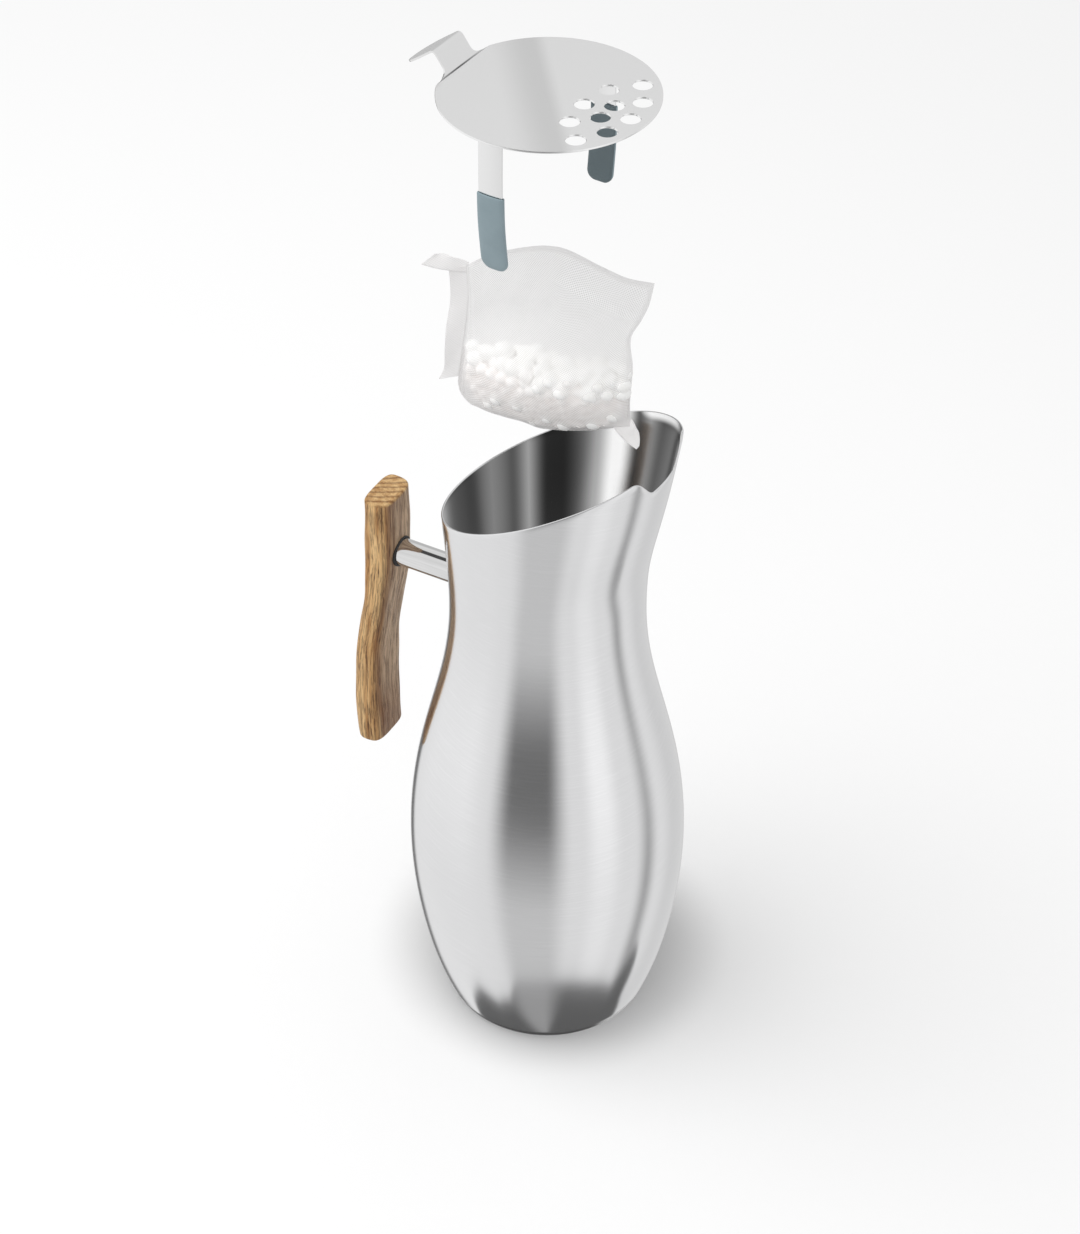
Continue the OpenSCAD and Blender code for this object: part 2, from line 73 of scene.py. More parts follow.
lens = bpy.data.cameras.new("long_lens")
lens.sensor_fit = "HORIZONTAL"
lens.sensor_width = FILM_WIDTH
lens.lens = FOCAL_PIXELS / PICTURE_WIDTH * FILM_WIDTH
lens.clip_start = 0.05
lens.clip_end = 30
camera = bpy.data.objects.new("camera", lens)
camera.location = EYE
camera.rotation_euler = SIGHT.to_track_quat("-Z", "Y").to_euler()
scene = bpy.context.scene
scene.collection.objects.link(camera)
scene.camera = camera
scene.view_settings.view_transform = "Standard"
print("lens, mm:", round(lens.lens, 2))

# %% [markdown]
# ## Shader maths as Python
# A material is a net of nodes. Wiring it by hand is slow to read, so one small
# class stands for a wire between nodes. A sum or a product of wires adds the
# Math node that works it out, and one method adds any other node. The short
# methods below it are for the few nodes that nearly every material needs.

# %% Wires
class Wire:
    """The output of a node. Sums, products and powers of wires add Math nodes."""

    def __init__(self, tree, socket=None):
        self.tree = tree
        self.socket = socket

    def node(self, kind, settings=(), sockets=(), out=0):
        """Add a node: settings first, then the values or wires of its sockets."""
        made = self.tree.nodes.new("ShaderNode" + kind)
        for name, value in dict(settings).items():
            setattr(made, name, value)
        for name, value in dict(sockets).items():
            if isinstance(value, Wire):
                self.tree.links.new(value.socket, made.inputs[name])
            else:
                made.inputs[name].default_value = value
        return Wire(self.tree, made.outputs[out])

    def math(self, operation, *values):
        return self.node("Math", {"operation": operation}, dict(enumerate((self,) + values)))

    def __add__(self, other):
        return self.math("ADD", other)

    __radd__ = __add__

    def __mul__(self, other):
        return self.math("MULTIPLY", other)

    __rmul__ = __mul__

    def __sub__(self, other):
        return self.math("SUBTRACT", other)

    def __rsub__(self, other):
        return self * -1 + other

    def __truediv__(self, other):
        return self.math("DIVIDE", other)

    def __pow__(self, other):
        return self.math("POWER", other)

    def step(self, start, end):
        """0 below start, 1 above end, and a smooth S between them."""
        if start > end:
            return 1 - self.step(end, start)
        return self.node("MapRange", {"interpolation_type": "SMOOTHSTEP"},
                         {0: self, 1: start, 2: end})

    def tint(self, first, second):
        """The colour first where this wire is 0, and second where it is 1."""
        return self.node("Mix", {"data_type": "RGBA"}, {0: self, 6: first, 7: second}, out=2)

    def parts(self):
        """The three numbers of a vector, as three wires."""
        split = self.node("SeparateXYZ", (), {0: self}).socket.node
        return [Wire(self.tree, output) for output in split.outputs]

    def vector(self, x, y, z):
        return self.node("CombineXYZ", (), {0: x, 1: y, 2: z})

    def noise(self, place, scale, detail=2, roughness=0.5):
        return self.node("TexNoise", (), {"Vector": place, "Scale": scale, "Detail": detail,
                                          "Roughness": roughness})

    def place(self):
        """The place on the piece, in metres, in the frame that all pieces share."""
        return self.node("TexCoord", out="Object")

    def mark(self, name):
        """The number that the piece carries under this name at each of its points."""
        return self.node("Attribute", {"attribute_name": name}, out="Fac")

    def ray(self, kind):
        """1 for one kind of ray, such as Is Camera Ray, and 0 for the others."""
        return self.node("LightPath", out=kind)

    def bump(self, strength, distance, height, under=None):
        """Tip the surface as if height, times distance in metres, stood out of it."""
        sockets = {"Strength": strength, "Distance": distance, "Height": height}
        if under is not None:
            sockets["Normal"] = under
        return self.node("Bump", (), sockets)


def toward(value, level, share):
    """A number or wire, drawn towards level by share, which runs from 0 to 1."""
    return value + share * (level - value)


def written(red, green, blue):
    """A colour of 0 to 255, as an eye reads it, in the light values that shaders use."""
    shares = [value / 255 for value in (red, green, blue)]
    return tuple(s / 12.92 if s < 0.04045 else ((s + 0.055) / 1.055) ** 2.4 for s in shares) + (1,)


print("middle grey in light values:", round(written(128, 128, 128)[0], 3))

# %% [markdown]
# ## The studio
# Steel has hardly any colour of its own: it shows what stands round it. So the
# studio is built for the steel. Round the jug stand bright sheets and black
# cards, and each is a stripe of the world at one heading. Only reflections see
# them. Matt things get an even light from all sides, and the camera sees white.
# Heights here run from -1, straight down, over 0, level, to 1, straight up.

# %% The world of sheets and cards
# Each sheet or card: its heading, half its width and its soft edge, in degrees,
# and its brightness at the heights LOW_AT and TOP_AT.
CARDS = [
    (-159, 36, 15, 0.89, 1.01),
    (-76.5, 25, 11, 0.65, 0.165),
    (-15, 11, 8, 0.95, 1.07),
    (28, 5, 9, 0.29, 0.48),
    (80, 25, 12, 0.72, 0.72),
    (117, 15, 8, 0.60, 0.60),
    (142, 8, 4, 0.16, 0.10),
]
LOW_AT, TOP_AT = -0.67, -0.29
ROOM_LEVEL = 0.86
FILL_LEVEL = 0.73

world = bpy.data.worlds.new("studio")
scene.world = world
world.use_nodes = True
world.cycles.sampling_method = "NONE"
net = world.node_tree
net.nodes.clear()
start = Wire(net)
x, y, z = start.node("TexCoord", out="Generated").parts()
flat = (x * x + y * y + 0.0001).math("SQRT")
side_x, side_y = x / flat, y / flat


def sector(heading, full, none):
    """1 within full degrees of a heading, seen from above, and 0 past none degrees."""
    turn = math.radians(heading)
    along = side_x * math.cos(turn) + side_y * math.sin(turn)
    off = along.math("MINIMUM", 1).math("MAXIMUM", -1).math("ARCCOSINE") * (180 / math.pi)
    return off.step(none, full)


high = ((z - LOW_AT) / (TOP_AT - LOW_AT)).math("MAXIMUM", 0).math("MINIMUM", 1)
room = ROOM_LEVEL
for heading, half, soft, low_level, top_level in CARDS:
    card = high * (top_level - low_level) + low_level
    room = toward(room, card, sector(heading, half - soft, half + soft))
print("sheets and cards round the jug:", len(CARDS))

# %% [markdown]
# Straight below, the steel looks at the floor under itself, which lies in its
# own shadow, and the edge of that shadow is crisp. Above, a wide soft box hangs
# over the jug, and gives the lid and the inside of the jug their light. A dark
# seam in it, on the side of the handle, is the dark line along the post.

# %% Floor shade, roof light, and what each kind of ray sees
SHADE_EDGE = (-0.884, -0.901)
# Where the shade reaches further out or less far: heading, full and last degrees
# beside it, and the change in height.
SHADE_REACH = [(39, 2, 16, 0.074), (-125, 8, 32, -0.036)]
SHADE_LEVEL = 0.12
GAP_SECTOR, GAP_LIGHT = (-80, 12, 46), 0.24
ROOF_FROM, ROOF_FULL, ROOF_LEVEL = 0.25, 0.62, 0.84
SEAM_Y, SEAM_LEVEL = 0.10, 0.07

shade_edge = z
for heading, full, none, change in SHADE_REACH:
    shade_edge = shade_edge - sector(heading, full, none) * change
under = shade_edge.step(*SHADE_EDGE)
room = toward(room, sector(*GAP_SECTOR) * GAP_LIGHT + SHADE_LEVEL, under)
room = toward(room, ROOF_LEVEL, z.step(ROOF_FROM, ROOF_FULL))
seam_width = (y - SEAM_Y).math("ABSOLUTE").step(0.30, 0.22)
roof_seam = seam_width * z.step(0.83, 0.88) * (x * -1).step(0.1, 0.2)
room = toward(room, SEAM_LEVEL, roof_seam)

level = toward(FILL_LEVEL, room, start.ray("Is Glossy Ray"))
level = toward(level, 1.0, start.ray("Is Camera Ray"))
sky = start.node("Background", (), {"Color": (1, 1, 1, 1), "Strength": level})
world_end = net.nodes.new("ShaderNodeOutputWorld")
net.links.new(sky.socket, world_end.inputs["Surface"])
print("nodes in the world:", len(net.nodes))

# %% [markdown]
# One large soft lamp stands to the left, so the shadow falls to the right of
# the foot. The floor is pale, and a little glow that only the camera sees
# lifts it to white where the lamp reaches it. Far out it fades to plain white,
# so it has no edge. The even light of this room also comes in under the belly,
# which a real room has less of, so the paper is a little darker close to the
# foot and just behind it. Mirrored rays pass through it: the world is their floor.

# %% Lamp and floor
LAMP_FROM = Vector((-0.58, -0.38, 1.85))
LAMP_AIM = Vector((0, 0, 0.2))
LAMP_SIZE = 1.3
LAMP_WATTS = 17
FLOOR_HALF = 30
FADE_FROM, FADE_TO = 0.7, 2.4
SHADE_X, SHADE_Y = -0.006, 0.014
SHADE_FROM, SHADE_TO = 0.040, 0.084
FOOT_SHADE = 0.60
PAPER_WHITE = 0.8
PAPER_GLOW = 0.135

lamp_data = bpy.data.lights.new("soft_lamp", "AREA")
lamp_data.shape = "DISK"
lamp_data.size = LAMP_SIZE
lamp_data.energy = LAMP_WATTS
lamp = bpy.data.objects.new("soft_lamp", lamp_data)
lamp.location = LAMP_FROM
lamp.rotation_euler = (LAMP_AIM - LAMP_FROM).to_track_quat("-Z", "Y").to_euler()
lamp.visible_glossy = False
scene.collection.objects.link(lamp)

floor_mesh = bpy.data.meshes.new("floor")
floor_corners = [(i * FLOOR_HALF, j * FLOOR_HALF, 0)
                 for i, j in ((-1, -1), (1, -1), (1, 1), (-1, 1))]
floor_mesh.from_pydata(floor_corners, [], [(0, 1, 2, 3)])
floor = bpy.data.objects.new("floor", floor_mesh)
scene.collection.objects.link(floor)


def new_material(name):
    """An empty material, and the wire from which its nodes start."""
    made = bpy.data.materials.new(name)
    made.use_nodes = True
    made.node_tree.nodes.clear()
    return made, Wire(made.node_tree)


def finished(material, shader):
    """Join a shader to the material's output, and hand the material back."""
    end = material.node_tree.nodes.new("ShaderNodeOutputMaterial")
    material.node_tree.links.new(shader.socket, end.inputs["Surface"])
    return material


floor_paper, start = new_material("floor_paper")
seen = start.ray("Is Camera Ray")
x, y, _ = start.place().parts()
distance = (x * x + y * y).math("SQRT")
from_shade = ((x - SHADE_X) ** 2 + (y - SHADE_Y) ** 2).math("SQRT")
open_floor = from_shade.step(SHADE_FROM, SHADE_TO) * (1 - FOOT_SHADE) + FOOT_SHADE
paper_colour = open_floor.tint((0, 0, 0, 1), (PAPER_WHITE, PAPER_WHITE, PAPER_WHITE, 1))
matt = start.node("BsdfDiffuse", (), {"Color": paper_colour})
glow = start.node("Emission", (), {"Strength": seen * open_floor * PAPER_GLOW})
near_paper = start.node("AddShader", (), {0: matt, 1: glow})
backdrop = start.node("Emission", (), {"Strength": 1.0})
fade = distance.step(FADE_FROM, FADE_TO) * seen
paper = start.node("MixShader", (), {0: fade, 1: near_paper, 2: backdrop})
clear = start.node("BsdfTransparent")
in_gloss = start.ray("Is Glossy Ray")
finished(floor_paper, start.node("MixShader", (), {0: in_gloss, 1: paper, 2: clear}))
floor_mesh.materials.append(floor_paper)
print("floor, m:", 2 * FLOOR_HALF)

# %% [markdown]
# ## From numbers to a mesh
# Every new piece is a grid of points worked out with numpy, all at once. This
# helper joins the grid into four-sided faces, closes it round if asked, and
# merges the points that fall together at a pole. Another puts the mesh in the
# scene, with the body that it moves with and the node that it stands for.

# %% Surface helper
def grid_faces(rows, cols, round_rows, round_cols):
    """Four corners for each cell of a grid. Rows go up, columns go anticlockwise."""
    i = np.arange(rows if round_rows else rows - 1)
    j = np.arange(cols if round_cols else cols - 1)
    i, j = np.meshgrid(i, j, indexing="ij")
    up = (i + 1) % rows
    on = (j + 1) % cols
    corners = np.stack([i * cols + j, i * cols + on, up * cols + on, up * cols + j], -1)
    return corners.reshape(-1, 4)


def new_piece(name, mesh, material, body, stands_for=()):
    """Put a mesh in the scene, with its material, its body and what it replaces."""
    mesh.materials.append(material)
    piece = bpy.data.objects.new(name, mesh)
    scene.collection.objects.link(piece)
    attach(piece, body)
    if stands_for:
        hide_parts(*stands_for)
    print(f"{name}: {len(mesh.polygons)} faces")
    return piece


def surface_mesh(name, grid, round_rows=False, round_cols=True, uv=None, sharp=None, marks=None):
    """A mesh from a grid of points in millimetres. uv is a grid of flat positions.

    marks gives names, each with a grid of numbers that a material can read."""
    rows, cols = grid.shape[:2]
    faces = grid_faces(rows, cols, round_rows, round_cols)
    mesh = bpy.data.meshes.new(name)
    mesh.from_pydata(grid.reshape(-1, 3) * MM, [], faces)
    if uv is not None:
        layer = mesh.uv_layers.new(name="flat")
        layer.data.foreach_set("uv", uv.reshape(-1, 2)[faces.ravel()].ravel())
    for mark, values in (marks or {}).items():
        numbers = mesh.attributes.new(mark, "FLOAT", "POINT")
        numbers.data.foreach_set("value", values.astype(np.float32).ravel())
    work = bmesh.new()
    work.from_mesh(mesh)
    bmesh.ops.remove_doubles(work, verts=work.verts, dist=1e-7)
    bmesh.ops.dissolve_degenerate(work, edges=work.edges, dist=1e-8)
    work.to_mesh(mesh)
    work.free()
    mesh.shade_smooth()
    if sharp:
        mesh.set_sharp_from_angle(angle=math.radians(sharp))
    return mesh


def face_normals(mesh):
    """The direction in which each face looks, as rows of three numbers."""
    facing = np.zeros(3 * len(mesh.polygons))
    mesh.polygons.foreach_get("normal", facing)
    return facing.reshape(-1, 3)


def cubic(places, values, slopes, at):
    """A curve through stations, with a given slope at each: a cubic between them."""
    at = np.clip(at, places[0], places[-1])
    k = np.clip(np.searchsorted(places, at, side="right") - 1, 0, len(places) - 2)
    gap = places[k + 1] - places[k]
    t = (at - places[k]) / gap
    return ((2 * t**3 - 3 * t**2 + 1) * values[k] + (t**3 - 2 * t**2 + t) * gap * slopes[k]
            + (3 * t**2 - 2 * t**3) * values[k + 1] + (t**3 - t**2) * gap * slopes[k + 1])


def through(places, values, at):
    """A smooth curve through stations, which runs level at both ends."""
    places, values = np.asarray(places, float), np.asarray(values, float)
    slopes = np.gradient(values, places)
    slopes[0] = slopes[-1] = 0
    return cubic(places, values, slopes, at)


def soft_step(t):
    """0 below 0, 1 above 1, and three t squared less two t cubed between them."""
    t = np.clip(t, 0, 1)
    return 3 * t**2 - 2 * t**3


print("helpers ready")

# %% [markdown]
# ## Brushed steel
# The wall is brushed round and round, so its hairlines run level and are short.
# Noise makes them: its points are drawn out along the round and squeezed up
# the height. The same noise tips the surface a little and changes its gloss.
# The shader's anisotropy spreads each reflection across the hairlines.
# Two marks on the mesh say where the inside is and where the lip is. The inside
# is darker, in stripes, and a little rougher. At the lip a bump bends the steel.

# %% Steel finishes
HAIR_TURNS = 3
HAIR_FINE = 2200
# Stripes of the inside: degrees round from the spout, half width, softness, and
# the share of light that is left.
INSIDE_STRIPES = [(153, 7, 13, 0.28), (130, 3, 8, 0.50), (92, 5, 14, 0.60), (79, 8, 6, 1.0),
                  (58, 4, 8, 0.34)]
STRIPE_GROUND = 0.05
INSIDE_ROUGH = 0.10
LIP_BEND = 0.0021
LIP_LIGHT = 0.9


def brushed_steel(name, grey, roughness, spread, hair, depth):
    """Steel brushed round the axis of the jug. hair is how much the gloss varies.

    Inside the jug a mirrored ray runs from wall to wall, and each wall keeps some
    of its light. The colour of the inside carries that loss, stripe by stripe."""
    material, start = new_material(name)
    x, y, z = start.place().parts()
    radius = (x * x + y * y + 1e-6).math("SQRT")
    round_way = start.vector(x / radius * HAIR_TURNS, y / radius * HAIR_TURNS,
                             (z + radius) * HAIR_FINE)
    fine = start.noise(round_way, 1, 3, 0.6)
    streak = fine.step(0.42, 0.75)
    lit = written(grey + 2, grey + 2, grey + 3)
    dim = written(grey - 2, grey - 2, grey - 1)
    round_from_spout = (x / radius).math("ARCCOSINE") * (180 / math.pi)
    kept = STRIPE_GROUND
    for middle, half, soft, share in INSIDE_STRIPES:
        off = (round_from_spout - middle).math("ABSOLUTE")
        kept = toward(kept, share, off.step(half + soft, half - soft))
    inside, lip = start.mark("inside"), start.mark("lip")
    kept = toward(kept, LIP_LIGHT, lip.step(0.40, 0.90))
    depths = kept.tint((0, 0, 0, 1), (1, 1, 1, 1))
    gloss = streak * hair + inside * INSIDE_ROUGH + (roughness - hair / 2)
    hairlines = start.bump(depth, 0.00005, fine)
    shader = start.node("BsdfPrincipled", (), {
        "Base Color": inside.tint(streak.tint(dim, lit), depths), "Metallic": 1.0,
        "Roughness": gloss, "Normal": start.bump(1.0, LIP_BEND, lip * lip * -1, hairlines),
        "Anisotropic": spread, "Anisotropic Rotation": 0.25})
    return finished(material, shader)


jug_steel = brushed_steel("jug_steel", 231, 0.14, 0.6, 0.016, 0.012)
print("brushed steel ready")

# %% [markdown]
# ## The wall of the jug
# The real wall is one sheet, spun and then pressed out into a spout. Its radius
# runs through the thirteen stations of the frame, on cubics whose bend goes on
# without a jump. That keeps it within half a millimetre of the frame, and free
# of kinks, which a mirror would show. Above the neck the front leans out into
# the spout. The rim is cut at a slant and dips in front.

# %% Curves of the wall
STATION_Z = np.array([0, 14, 32, 54, 77, 102, 128, 152, 177, 204, 234, 266, 300], float)
STATION_R = np.array([43.32, 48.12, 52.62, 56.23, 58.13, 57.66, 54.23, 48.79, 43.02, 39.69,
                      40.21, 42.18, 42.46])
FOOT_SLOPE = 0.3875


def station_slopes():
    """Slopes that make the bend of the curve run on without a jump at each station.

    At a station the secant slopes on both sides, each over its gap, times three,
    are the slopes of the two neighbours over the gaps and twice its own over both."""
    gap = np.diff(STATION_Z)
    secant = np.diff(STATION_R) / gap
    sums = np.diag(np.r_[1, 2 / gap[:-1] + 2 / gap[1:], 1])
    sums += np.diag(np.r_[1 / gap[:-1], 0], -1) + np.diag(np.r_[0, 1 / gap[1:]], 1)
    wanted = np.r_[FOOT_SLOPE, 3 * (secant[:-1] / gap[:-1] + secant[1:] / gap[1:]), 0]
    return np.linalg.solve(sums, wanted)


wall_slopes = station_slopes()


def wall_radius(z):
    """Radius of the wall without its spout."""
    return cubic(STATION_Z, STATION_R, wall_slopes, z)


neck_radii = wall_radius(np.linspace(STATION_Z[8], STATION_Z[11], 90))
print("narrowest place of the neck, mm:", round(2 * float(neck_radii.min()), 1))

# %% Spout and rim
LEAN_FROM, LEAN_RUN, LEAN_OUT = 230, 69, 10
LEAN_SOFT, LEAN_EASE = 5.0, 0.2
RIM_LOW, RIM_SLANT = 253.5, 0.515
NOTCH_DEEP, NOTCH_HALF, NOTCH_FLAT = 11.2, 21, 7.5
WALL = 0.8
PAN_TOP = 3.0


def outer_radius(angle, z):
    """Wall and spout: the lean grows up the spout and fades away from the front."""
    t = LEAN_SOFT * np.log1p(np.exp((z - LEAN_FROM) / LEAN_SOFT)) / LEAN_RUN
    lean = LEAN_OUT * (1 + LEAN_EASE) * t**2 / (t + LEAN_EASE)
    return wall_radius(z) + lean * ((1 + np.cos(angle)) / 2) ** 2


def rim_height(angle):
    """Height of the cut rim, found by repetition: it depends on the radius there."""
    z = np.full_like(angle, 266.0)
    for _ in range(14):
        r = outer_radius(angle, z)
        side = np.where(np.cos(angle) > 0, np.abs(r * np.sin(angle)), NOTCH_HALF)
        dip = NOTCH_DEEP * soft_step((NOTCH_HALF - side) / (NOTCH_HALF - NOTCH_FLAT))
        z = RIM_LOW + RIM_SLANT * (r * np.cos(angle) + wall_radius(RIM_LOW)) - dip
    return z


spout = np.array([0.0])
print("reach of the spout, mm:", round(float(outer_radius(spout, rim_height(spout))[0]), 1))

# %% Wall mesh: up the outside, over the rounded rim, and down the inside
WALL_COLS = 320
WALL_ROWS = 110
RIM_RINGS = 7
LIP_DEEP = 7.0
FRONT_FROM, FRONT_RUN = 0.26, 0.30

angle = np.linspace(0, 2 * np.pi, WALL_COLS, endpoint=False)
rim = rim_height(angle) - WALL / 2
share = np.linspace(0, 1, WALL_ROWS)[:, None]
outer_z = PAN_TOP + (rim - PAN_TOP) * share
outer_r = outer_radius(angle, outer_z)
turn = np.linspace(0, np.pi, RIM_RINGS + 2)[1:-1, None]
over_r = outer_radius(angle, rim) - WALL / 2 * (1 - np.cos(turn))
radius = np.concatenate([outer_r, over_r, outer_r[::-1] - WALL])
height = np.concatenate([outer_z, rim + WALL / 2 * np.sin(turn), outer_z[::-1]])
grid = np.stack([radius * np.cos(angle), radius * np.sin(angle), height], -1)
inside = (np.arange(len(grid)) > WALL_ROWS + RIM_RINGS - 2)[:, None] * np.ones(WALL_COLS)
in_front = soft_step((np.cos(angle) - FRONT_FROM) / FRONT_RUN)
lip = np.clip(1 - (rim - height) / LIP_DEEP, 0, 1) * inside * in_front
wall_mesh = surface_mesh("jug_wall", grid, round_rows=True, marks={"inside": inside, "lip": lip})
jug_wall = new_piece("jug_wall", wall_mesh, jug_steel, "pitcher", ["body_shell"])
jug_wall.visible_glossy = False
print("rim from", round(float(rim.min()), 1), "to", round(float(rim.max()), 1), "mm")

# %% [markdown]
# ## The base
# The bottom is a shallow pan, welded into the wall with the seam polished away.
# Its edge is an arc that starts flat on the floor and ends in the slope of the
# wall, so the steel runs on without a break. A shallow dish lies inside the
# ring on which the jug stands.

# %% Base pan
PAN_INSIDE = 1.3
DISH_HIGH = 0.5
DISH_RINGS = 12
EDGE_RINGS = 15

wall_lean = math.atan(wall_slopes[0])
edge_turn = np.linspace(0, math.pi / 2 - wall_lean, EDGE_RINGS)[1:]
join_r = float(wall_radius(PAN_TOP))
edge_r = PAN_TOP / (1 - math.sin(wall_lean))
flat_r = join_r - edge_r * math.cos(wall_lean)
dish = np.linspace(0, 1, DISH_RINGS)
dish_z = DISH_HIGH * (1 - soft_step(dish * 1.6 - 0.5))
radius = np.concatenate([flat_r * dish, flat_r + edge_r * np.sin(edge_turn),
                         [join_r - WALL], flat_r * dish[::-1]])[:, None]
height = np.concatenate([dish_z, edge_r * (1 - np.cos(edge_turn)),
                         [PAN_TOP], np.full(DISH_RINGS, PAN_INSIDE)])[:, None]
grid = np.stack([radius * np.cos(angle), radius * np.sin(angle), height + 0 * angle], -1)
base_mesh = surface_mesh("jug_base", grid, sharp=50)
new_piece("jug_base", base_mesh, jug_steel, "pitcher", ["base_plate"])

# %% [markdown]
# ## The post of the handle
# A short polished tube stands out of the neck and carries the wood. A small
# hollow weld, polished smooth, rounds the corner between tube and neck. The
# tube is a circle carried along a line. Near the neck each ring follows the
# curve of the wall, and grows to the foot of the weld.

# %% Polished steel and rubber
def polished_steel(name, grey, roughness):
    """Polished steel: faint drawn lines along X and a slightly uneven gloss."""
    material, start = new_material(name)
    place = start.place()
    x, y, z = place.parts()
    drawn = start.noise(start.vector(x * 40, y * 900, z * 900), 1, 2)
    patch = start.noise(place, 150, 2)
    colour = drawn.step(0.3, 0.7).tint(written(grey - 10, grey - 10, grey - 10),
                                       written(grey, grey, grey))
    shader = start.node("BsdfPrincipled", (), {
        "Base Color": colour, "Metallic": 1.0, "Roughness": patch * 0.05 + roughness,
        "Normal": start.bump(0.04, 0.0001, drawn)})
    return finished(material, shader)


def moulded(name, colour, dark, roughness, grain):
    """Rubber or plastic: a fine grain, and a slow drift between two close colours."""
    material, start = new_material(name)
    place = start.place()
    cloudy = start.noise(place, 90, 3).step(0.3, 0.7)
    pimples = start.noise(place, 2600, 2)
    shader = start.node("BsdfPrincipled", (), {
        "Base Color": cloudy.tint(dark, colour), "Roughness": pimples * 0.12 + roughness,
        "Normal": start.bump(grain, 0.0001, pimples)})
    return finished(material, shader)


post_steel = polished_steel("post_steel", 232, 0.05)
# This dark ring stands in for the shadow in the gap where the post enters the wood: a painted
# shadow.
painted_shadow_rubber = moulded("painted_shadow_rubber", written(42, 40, 38), written(30, 29, 28), 0.5, 0.2)
print("polished steel and rubber ready")

# %% Post with its hollow weld
POST_Z = 210
POST_R = 5.75
POST_FROM, POST_END = -42, -71.3
POST_EASE = 0.3
WELD, WELD_REACH, WELD_HOLLOW = 1.1, 1.4, 2.2

from_wall = np.concatenate([[-0.4], np.linspace(0, WELD_REACH, 9)])
flare = WELD * np.clip(1 - np.maximum(from_wall, 0) / WELD_REACH, 0, 1) ** WELD_HOLLOW
clock = np.linspace(0, 2 * np.pi, 96, endpoint=False)
ring_r = (POST_R + flare)[:, None]
across, upward = ring_r * np.cos(clock), ring_r * np.sin(clock)
wall_x = -np.sqrt(wall_radius(POST_Z + upward) ** 2 - across**2)
near = np.stack([wall_x - from_wall[:, None], across, POST_Z + upward], -1)
along = np.concatenate([np.linspace(POST_FROM, POST_END + POST_EASE, 12), [POST_END]])[:, None]
small = np.concatenate([np.full(12, POST_R), [POST_R - POST_EASE]])[:, None]
far = np.stack([along + 0 * clock, small * np.cos(clock), POST_Z + small * np.sin(clock)], -1)
pole = far[-1:] * [1, 0, 0] + [0, 0, POST_Z]
root = near[:1] * [1, 0, 0] + [0, 0, POST_Z]
grid = np.concatenate([root, near, far, pole])[:, ::-1]
post_mesh = surface_mesh("handle_post", grid, sharp=60)
new_piece("handle_post", post_mesh, post_steel, "pitcher", ["post_tube"])

# %% Dark ring where the post enters the wood, put where the gap lies in shadow
RING_IN, RING_OUT, RING_FROM, RING_TO, RING_ROUND = 5.8, 6.6, -69.3, -67.75, 0.2

# The section is a rectangle with round corners, and each row is one corner.
turn = np.linspace(0, np.pi / 2, 5) + np.arange(4)[:, None] * np.pi / 2
x_mid = np.array([RING_TO - RING_ROUND, RING_FROM + RING_ROUND])[[0, 1, 1, 0], None]
r_mid = np.array([RING_OUT - RING_ROUND, RING_IN + RING_ROUND])[[0, 0, 1, 1], None]
ring_x = (x_mid + RING_ROUND * np.cos(turn)).reshape(-1, 1)
ring_r = (r_mid + RING_ROUND * np.sin(turn)).reshape(-1, 1)
grid = np.stack([ring_x + 0 * clock, ring_r * np.cos(clock), POST_Z + ring_r * np.sin(clock)], -1)
ring_mesh = surface_mesh("post_ring", grid[:, ::-1], round_rows=True)
new_piece("post_ring", ring_mesh, painted_shadow_rubber, "pitcher", ["post_gasket"])

# %% [markdown]
# ## Oak
# The grip is cut along the grain, so its sides show long dark pores and slow
# bands, and its ends show the curved rings of the tree. One solid pattern
# gives both: rings round an axis that stands beside the grip, with a wobble
# that is drawn out along the height. Pores are the dark tail of a thin noise.
# It reads how far a point is from the middle of the grip, a mark on the mesh,
# so the pores follow the step of the grip. The side that looks along -Y keeps a
# light colour, and the other sides get a darker, greyer one: painted shade. One
# long edge and the lower part get a darker red-brown painted shade.

# %% Oak material
TREE_X, TREE_Y = -0.105, 0.050
RING_WIDTH = 0.0031
RING_WOBBLE = 0.0045
SIDE_TO, END_FROM = 0.2376, 0.2388


